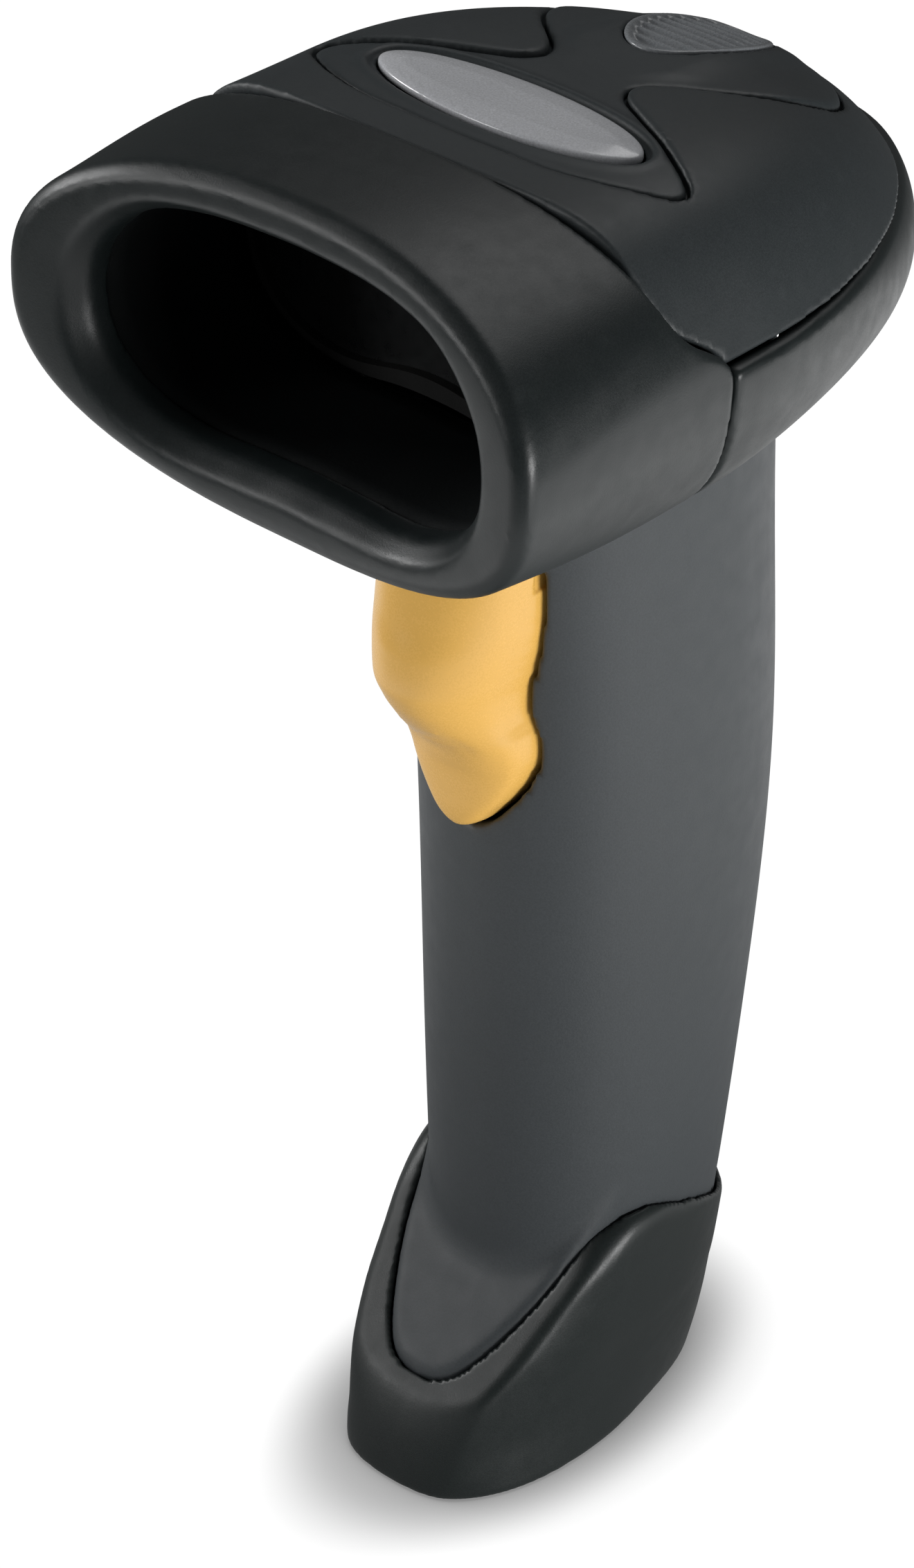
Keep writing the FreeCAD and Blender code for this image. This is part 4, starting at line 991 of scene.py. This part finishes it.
# ------------------------------------------------------------------ pieces kept from the CAD
finishes = {
    "steel": metal("m_steel", colour=(0.62, 0.62, 0.63), rough=0.26, scale=1500, drawn=True),
    "screw": metal("m_screw", colour=(0.46, 0.46, 0.48), rough=0.32, scale=1100),
    "zinc": metal("m_zinc", colour=(0.52, 0.52, 0.53), rough=0.45, scale=700),
    "brass": metal("m_brass", colour=(0.72, 0.52, 0.22), rough=0.28, scale=1300, drawn=True),
    "gold": metal("m_gold", colour=(0.85, 0.62, 0.25), rough=0.22, scale=1500),
    "copper": metal("m_copper", colour=(0.62, 0.26, 0.12), rough=0.35, scale=4200, drawn=True),
    "magnet": metal("m_magnet", colour=(0.30, 0.30, 0.31), rough=0.30, scale=900),
    "mirror": metal("m_mirror", colour=(0.92, 0.92, 0.94), rough=0.10, scale=300),
    "board": circuit_board("m_board"),
    "chip": plastic("m_chip", colour=(0.018, 0.018, 0.019), rough=0.55, grain=0.6),
    "inner": plastic("m_inner", colour=(0.06, 0.06, 0.062), rough=0.5, grain=0.4),
    "socket": plastic("m_socket", colour=(0.09, 0.09, 0.092), rough=0.35, grain=0.2),
    "rubber": plastic("m_rubber", colour=(0.012, 0.012, 0.012), rough=0.75, grain=0.9,
                      specular=0.3),
    "ribbon": plastic("m_ribbon", colour=(0.62, 0.62, 0.58), rough=0.35, grain=0.2),
    "led": plastic("m_led", colour=(0.75, 0.75, 0.68), rough=0.25, grain=0.1, coat=0.5),
    "clear": glass("m_clear", colour=(0.92, 0.94, 0.96), rough=0.04, transmission=0.95),
    "filter": glass("m_filter", colour=(0.45, 0.02, 0.03), rough=0.06, transmission=0.8),
    "window": plastic("m_window", colour=(0.0125, 0.0135, 0.0140), rough=0.30, spread=0.02,
                      grain=0.03, grain_scale=900, coat=0.6),
}
PIECE_FINISH = {
    "trigger_pivot_pin": "steel", "return_spring": "steel", "boot_screws": "screw",
    "window_gasket": "rubber", "exit_window": "window", "engine_tray": "zinc",
    "engine_grommets": "rubber", "engine_screws": "screw", "engine_carrier": "inner",
    "laser_barrel": "brass", "collimating_lens": "clear", "mirror_shaft": "steel",
    "scan_mirror": "mirror", "drive_magnet": "magnet", "drive_coil": "copper",
    "detector_board": "board", "photodiode": "chip", "optical_filter": "filter",
    "engine_board": "board", "engine_chip": "chip", "indicator_board": "board",
    "indicator_leds": "led", "light_pipe": "clear", "main_board": "board",
    "board_screws": "screw", "decoder_chip": "chip", "memory_chip": "chip", "beeper": "chip",
    "trigger_switch": "chip", "switch_plunger": "inner", "ribbon_cable": "ribbon",
    "ribbon_connector": "socket", "socket_board": "board", "board_header": "chip",
    "cable_socket": "socket", "socket_contacts": "gold"}
for piece, finish in PIECE_FINISH.items():
    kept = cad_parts[piece]
    if len(kept.material_slots) == 0:
        kept.data.materials.append(finishes[finish])
    for slot in kept.material_slots:
        slot.link = "OBJECT"
        slot.material = finishes[finish]


# ------------------------------------------------------------------ floor
def floor_material():
    """Near-white to the camera, with painted shadows round the foot; to everything else, a glow that
    varies with place.
    """
    material, tree, output = blank_material("m_floor")
    place = object_place(tree)
    cloud = noise(tree, place, scale=6, detail=3)
    seen = mix(tree, remap(tree, cloud, to=(0, 1)), shade((0.95,) * 3), shade((0.97,) * 3))
    camera_ray = node(tree, "LightPath").outputs["Is Camera Ray"]

    # glow: dim under the scanner, stronger to the back right and front left, fading far away
    radius = length(tree, place)
    around = remap(tree, radius, to=(0.22, 0.80), over=(0.03, 0.17), smooth=True)
    back_right = remap(tree, along(tree, place, (0.80, 0.60, 0)),
                       to=(0.0, 0.7), over=(0.03, 0.20), smooth=True)
    fade = remap(tree, radius, to=(1.0, 0.05), over=(0.22, 0.36), smooth=True)
    front_left = remap(tree, along(tree, place, (-0.66, -0.75, 0)),
                       to=(0.0, 0.35), over=(0.08, 0.20), smooth=True)
    glow = calculate(tree, "ADD", calculate(tree, "ADD", around, front_left), back_right)
    glow = calculate(tree, "MULTIPLY", glow, fade)
    unseen = node(tree, "Emission", {"Color": grey(tree, glow)})

    # painted contact shadow from ambient occlusion, then a painted soft oval shadow centred a little
    # in front of the foot
    contact = node(tree, "AmbientOcclusion", {"Distance": 0.012}, samples=24).outputs["AO"]
    contact = remap(tree, contact, to=(0.45, 1.03), over=(0.42, 0.95))
    seen = mix(tree, 1.0, seen, grey(tree, contact), blend="MULTIPLY")
    # painted shadow: darker inside an oval round the foot, fading outwards
    oval = node(tree, "Mapping", {"Location": (0.06, 0.27, 0), "Scale": (62.0, 36.0, 1.0),
                                  "Vector": place}).outputs["Vector"]
    painted_oval_shadow = remap(tree, length(tree, oval), to=(0.55, 1.0), over=(0.78, 1.26), smooth=True)
    seen = mix(tree, 1.0, seen, grey(tree, painted_oval_shadow), blend="MULTIPLY")
    visible = node(tree, "Emission", {"Color": seen, "Strength": 1.06})
    both = node(tree, "MixShader", {0: camera_ray, 1: unseen.outputs[0], 2: visible.outputs[0]})
    wire(tree, output, {"Surface": both.outputs[0]})
    return material


def build_floor(half=3.0):
    mesh = bpy.data.meshes.new("floor")
    mesh.from_pydata([(-half, -half, 0), (half, -half, 0), (half, half, 0), (-half, half, 0)],
                     [], [(0, 1, 2, 3)])
    floor = bpy.data.objects.new("floor", mesh)
    bpy.context.scene.collection.objects.link(floor)
    mesh.materials.append(floor_material())


# ------------------------------------------------------------------ world, lights, camera
def build_world():
    """White to the camera; soft glows from front left and back right light the scanner."""
    world = bpy.data.worlds.new("world")
    bpy.context.scene.world = world
    world.use_nodes = True
    tree = world.node_tree
    tree.nodes.clear()
    output = node(tree, "OutputWorld")
    direction = node(tree, "TexCoord").outputs["Generated"]
    front_left = remap(tree, along(tree, direction, (-0.70, -0.71, -0.20)),
                       to=(0.085, 0.50), over=(0.50, 1.0), smooth=True)
    back_right = remap(tree, along(tree, direction, (0.80, 0.52, -0.30)),
                       to=(0.0, 0.15), over=(0.80, 1.0), smooth=True)
    glow = calculate(tree, "ADD", front_left, back_right)
    colour = mix(tree, node(tree, "LightPath").outputs["Is Camera Ray"],
                 grey(tree, glow), (1, 1, 1, 1))
    background = node(tree, "Background", {"Color": colour, "Strength": 1.0})
    wire(tree, output, {"Surface": background.outputs[0]})


def area_light(name, place, size, watts, size_y=None, target=(0, 0, 0.09)):
    """Square, or a rectangle if size_y is given; metres."""
    light = bpy.data.lights.new(name, "AREA")
    light.energy = watts
    light.size = size
    if size_y:
        light.shape = "RECTANGLE"
        light.size_y = size_y
    lamp = bpy.data.objects.new(name, light)
    bpy.context.scene.collection.objects.link(lamp)
    lamp.location = place
    lamp.rotation_euler = (Vector(target) - Vector(place)).to_track_quat("-Z", "Y").to_euler()


def build_camera():
    turn = math.radians(42.153294774051965)      # to the right of straight in front
    lift = math.radians(34.11009694453823)       # above level
    roll = math.radians(-0.3336882118370107)
    distance = 539.5801330605506
    target_y, target_z = 26.12893975611394, 80.55361918180334
    view = Vector((-math.sin(turn) * math.cos(lift), math.cos(turn) * math.cos(lift),
                   -math.sin(lift)))
    level = Vector((math.cos(turn), math.sin(turn), 0))
    upright = level.cross(view)
    right = level * math.cos(roll) + upright * math.sin(roll)
    up = -level * math.sin(roll) + upright * math.cos(roll)
    data = bpy.data.cameras.new("camera")
    camera = bpy.data.objects.new("camera", data)
    bpy.context.scene.collection.objects.link(camera)
    matrix = Matrix((right, up, -view)).transposed().to_4x4()
    matrix.translation = (Vector((0, target_y - ORIGIN_Y, target_z)) - view * distance) * MM
    camera.matrix_world = matrix
    data.sensor_width = 36.0
    data.sensor_fit = "AUTO"
    data.lens = 129.2310967476
    data.clip_start = 0.01
    data.clip_end = 20
    bpy.context.scene.camera = camera


build_floor()
build_world()
area_light("key_right", place=(0.84, -0.02, 0.05), size=0.45, size_y=0.10, watts=4.8)
area_light("front_left", place=(-0.45, -0.62, 0.30), size=0.16, size_y=0.4, watts=1.1)
area_light("ring_glint", place=(-0.34, -0.16, 0.26), size=0.10, watts=0.50,
           target=(0, -0.03, 0.13))
area_light("top_soft", place=(-0.10, 0.50, 0.95), size=0.7, watts=2.3)
build_camera()
bpy.context.scene.view_settings.view_transform = "Standard"
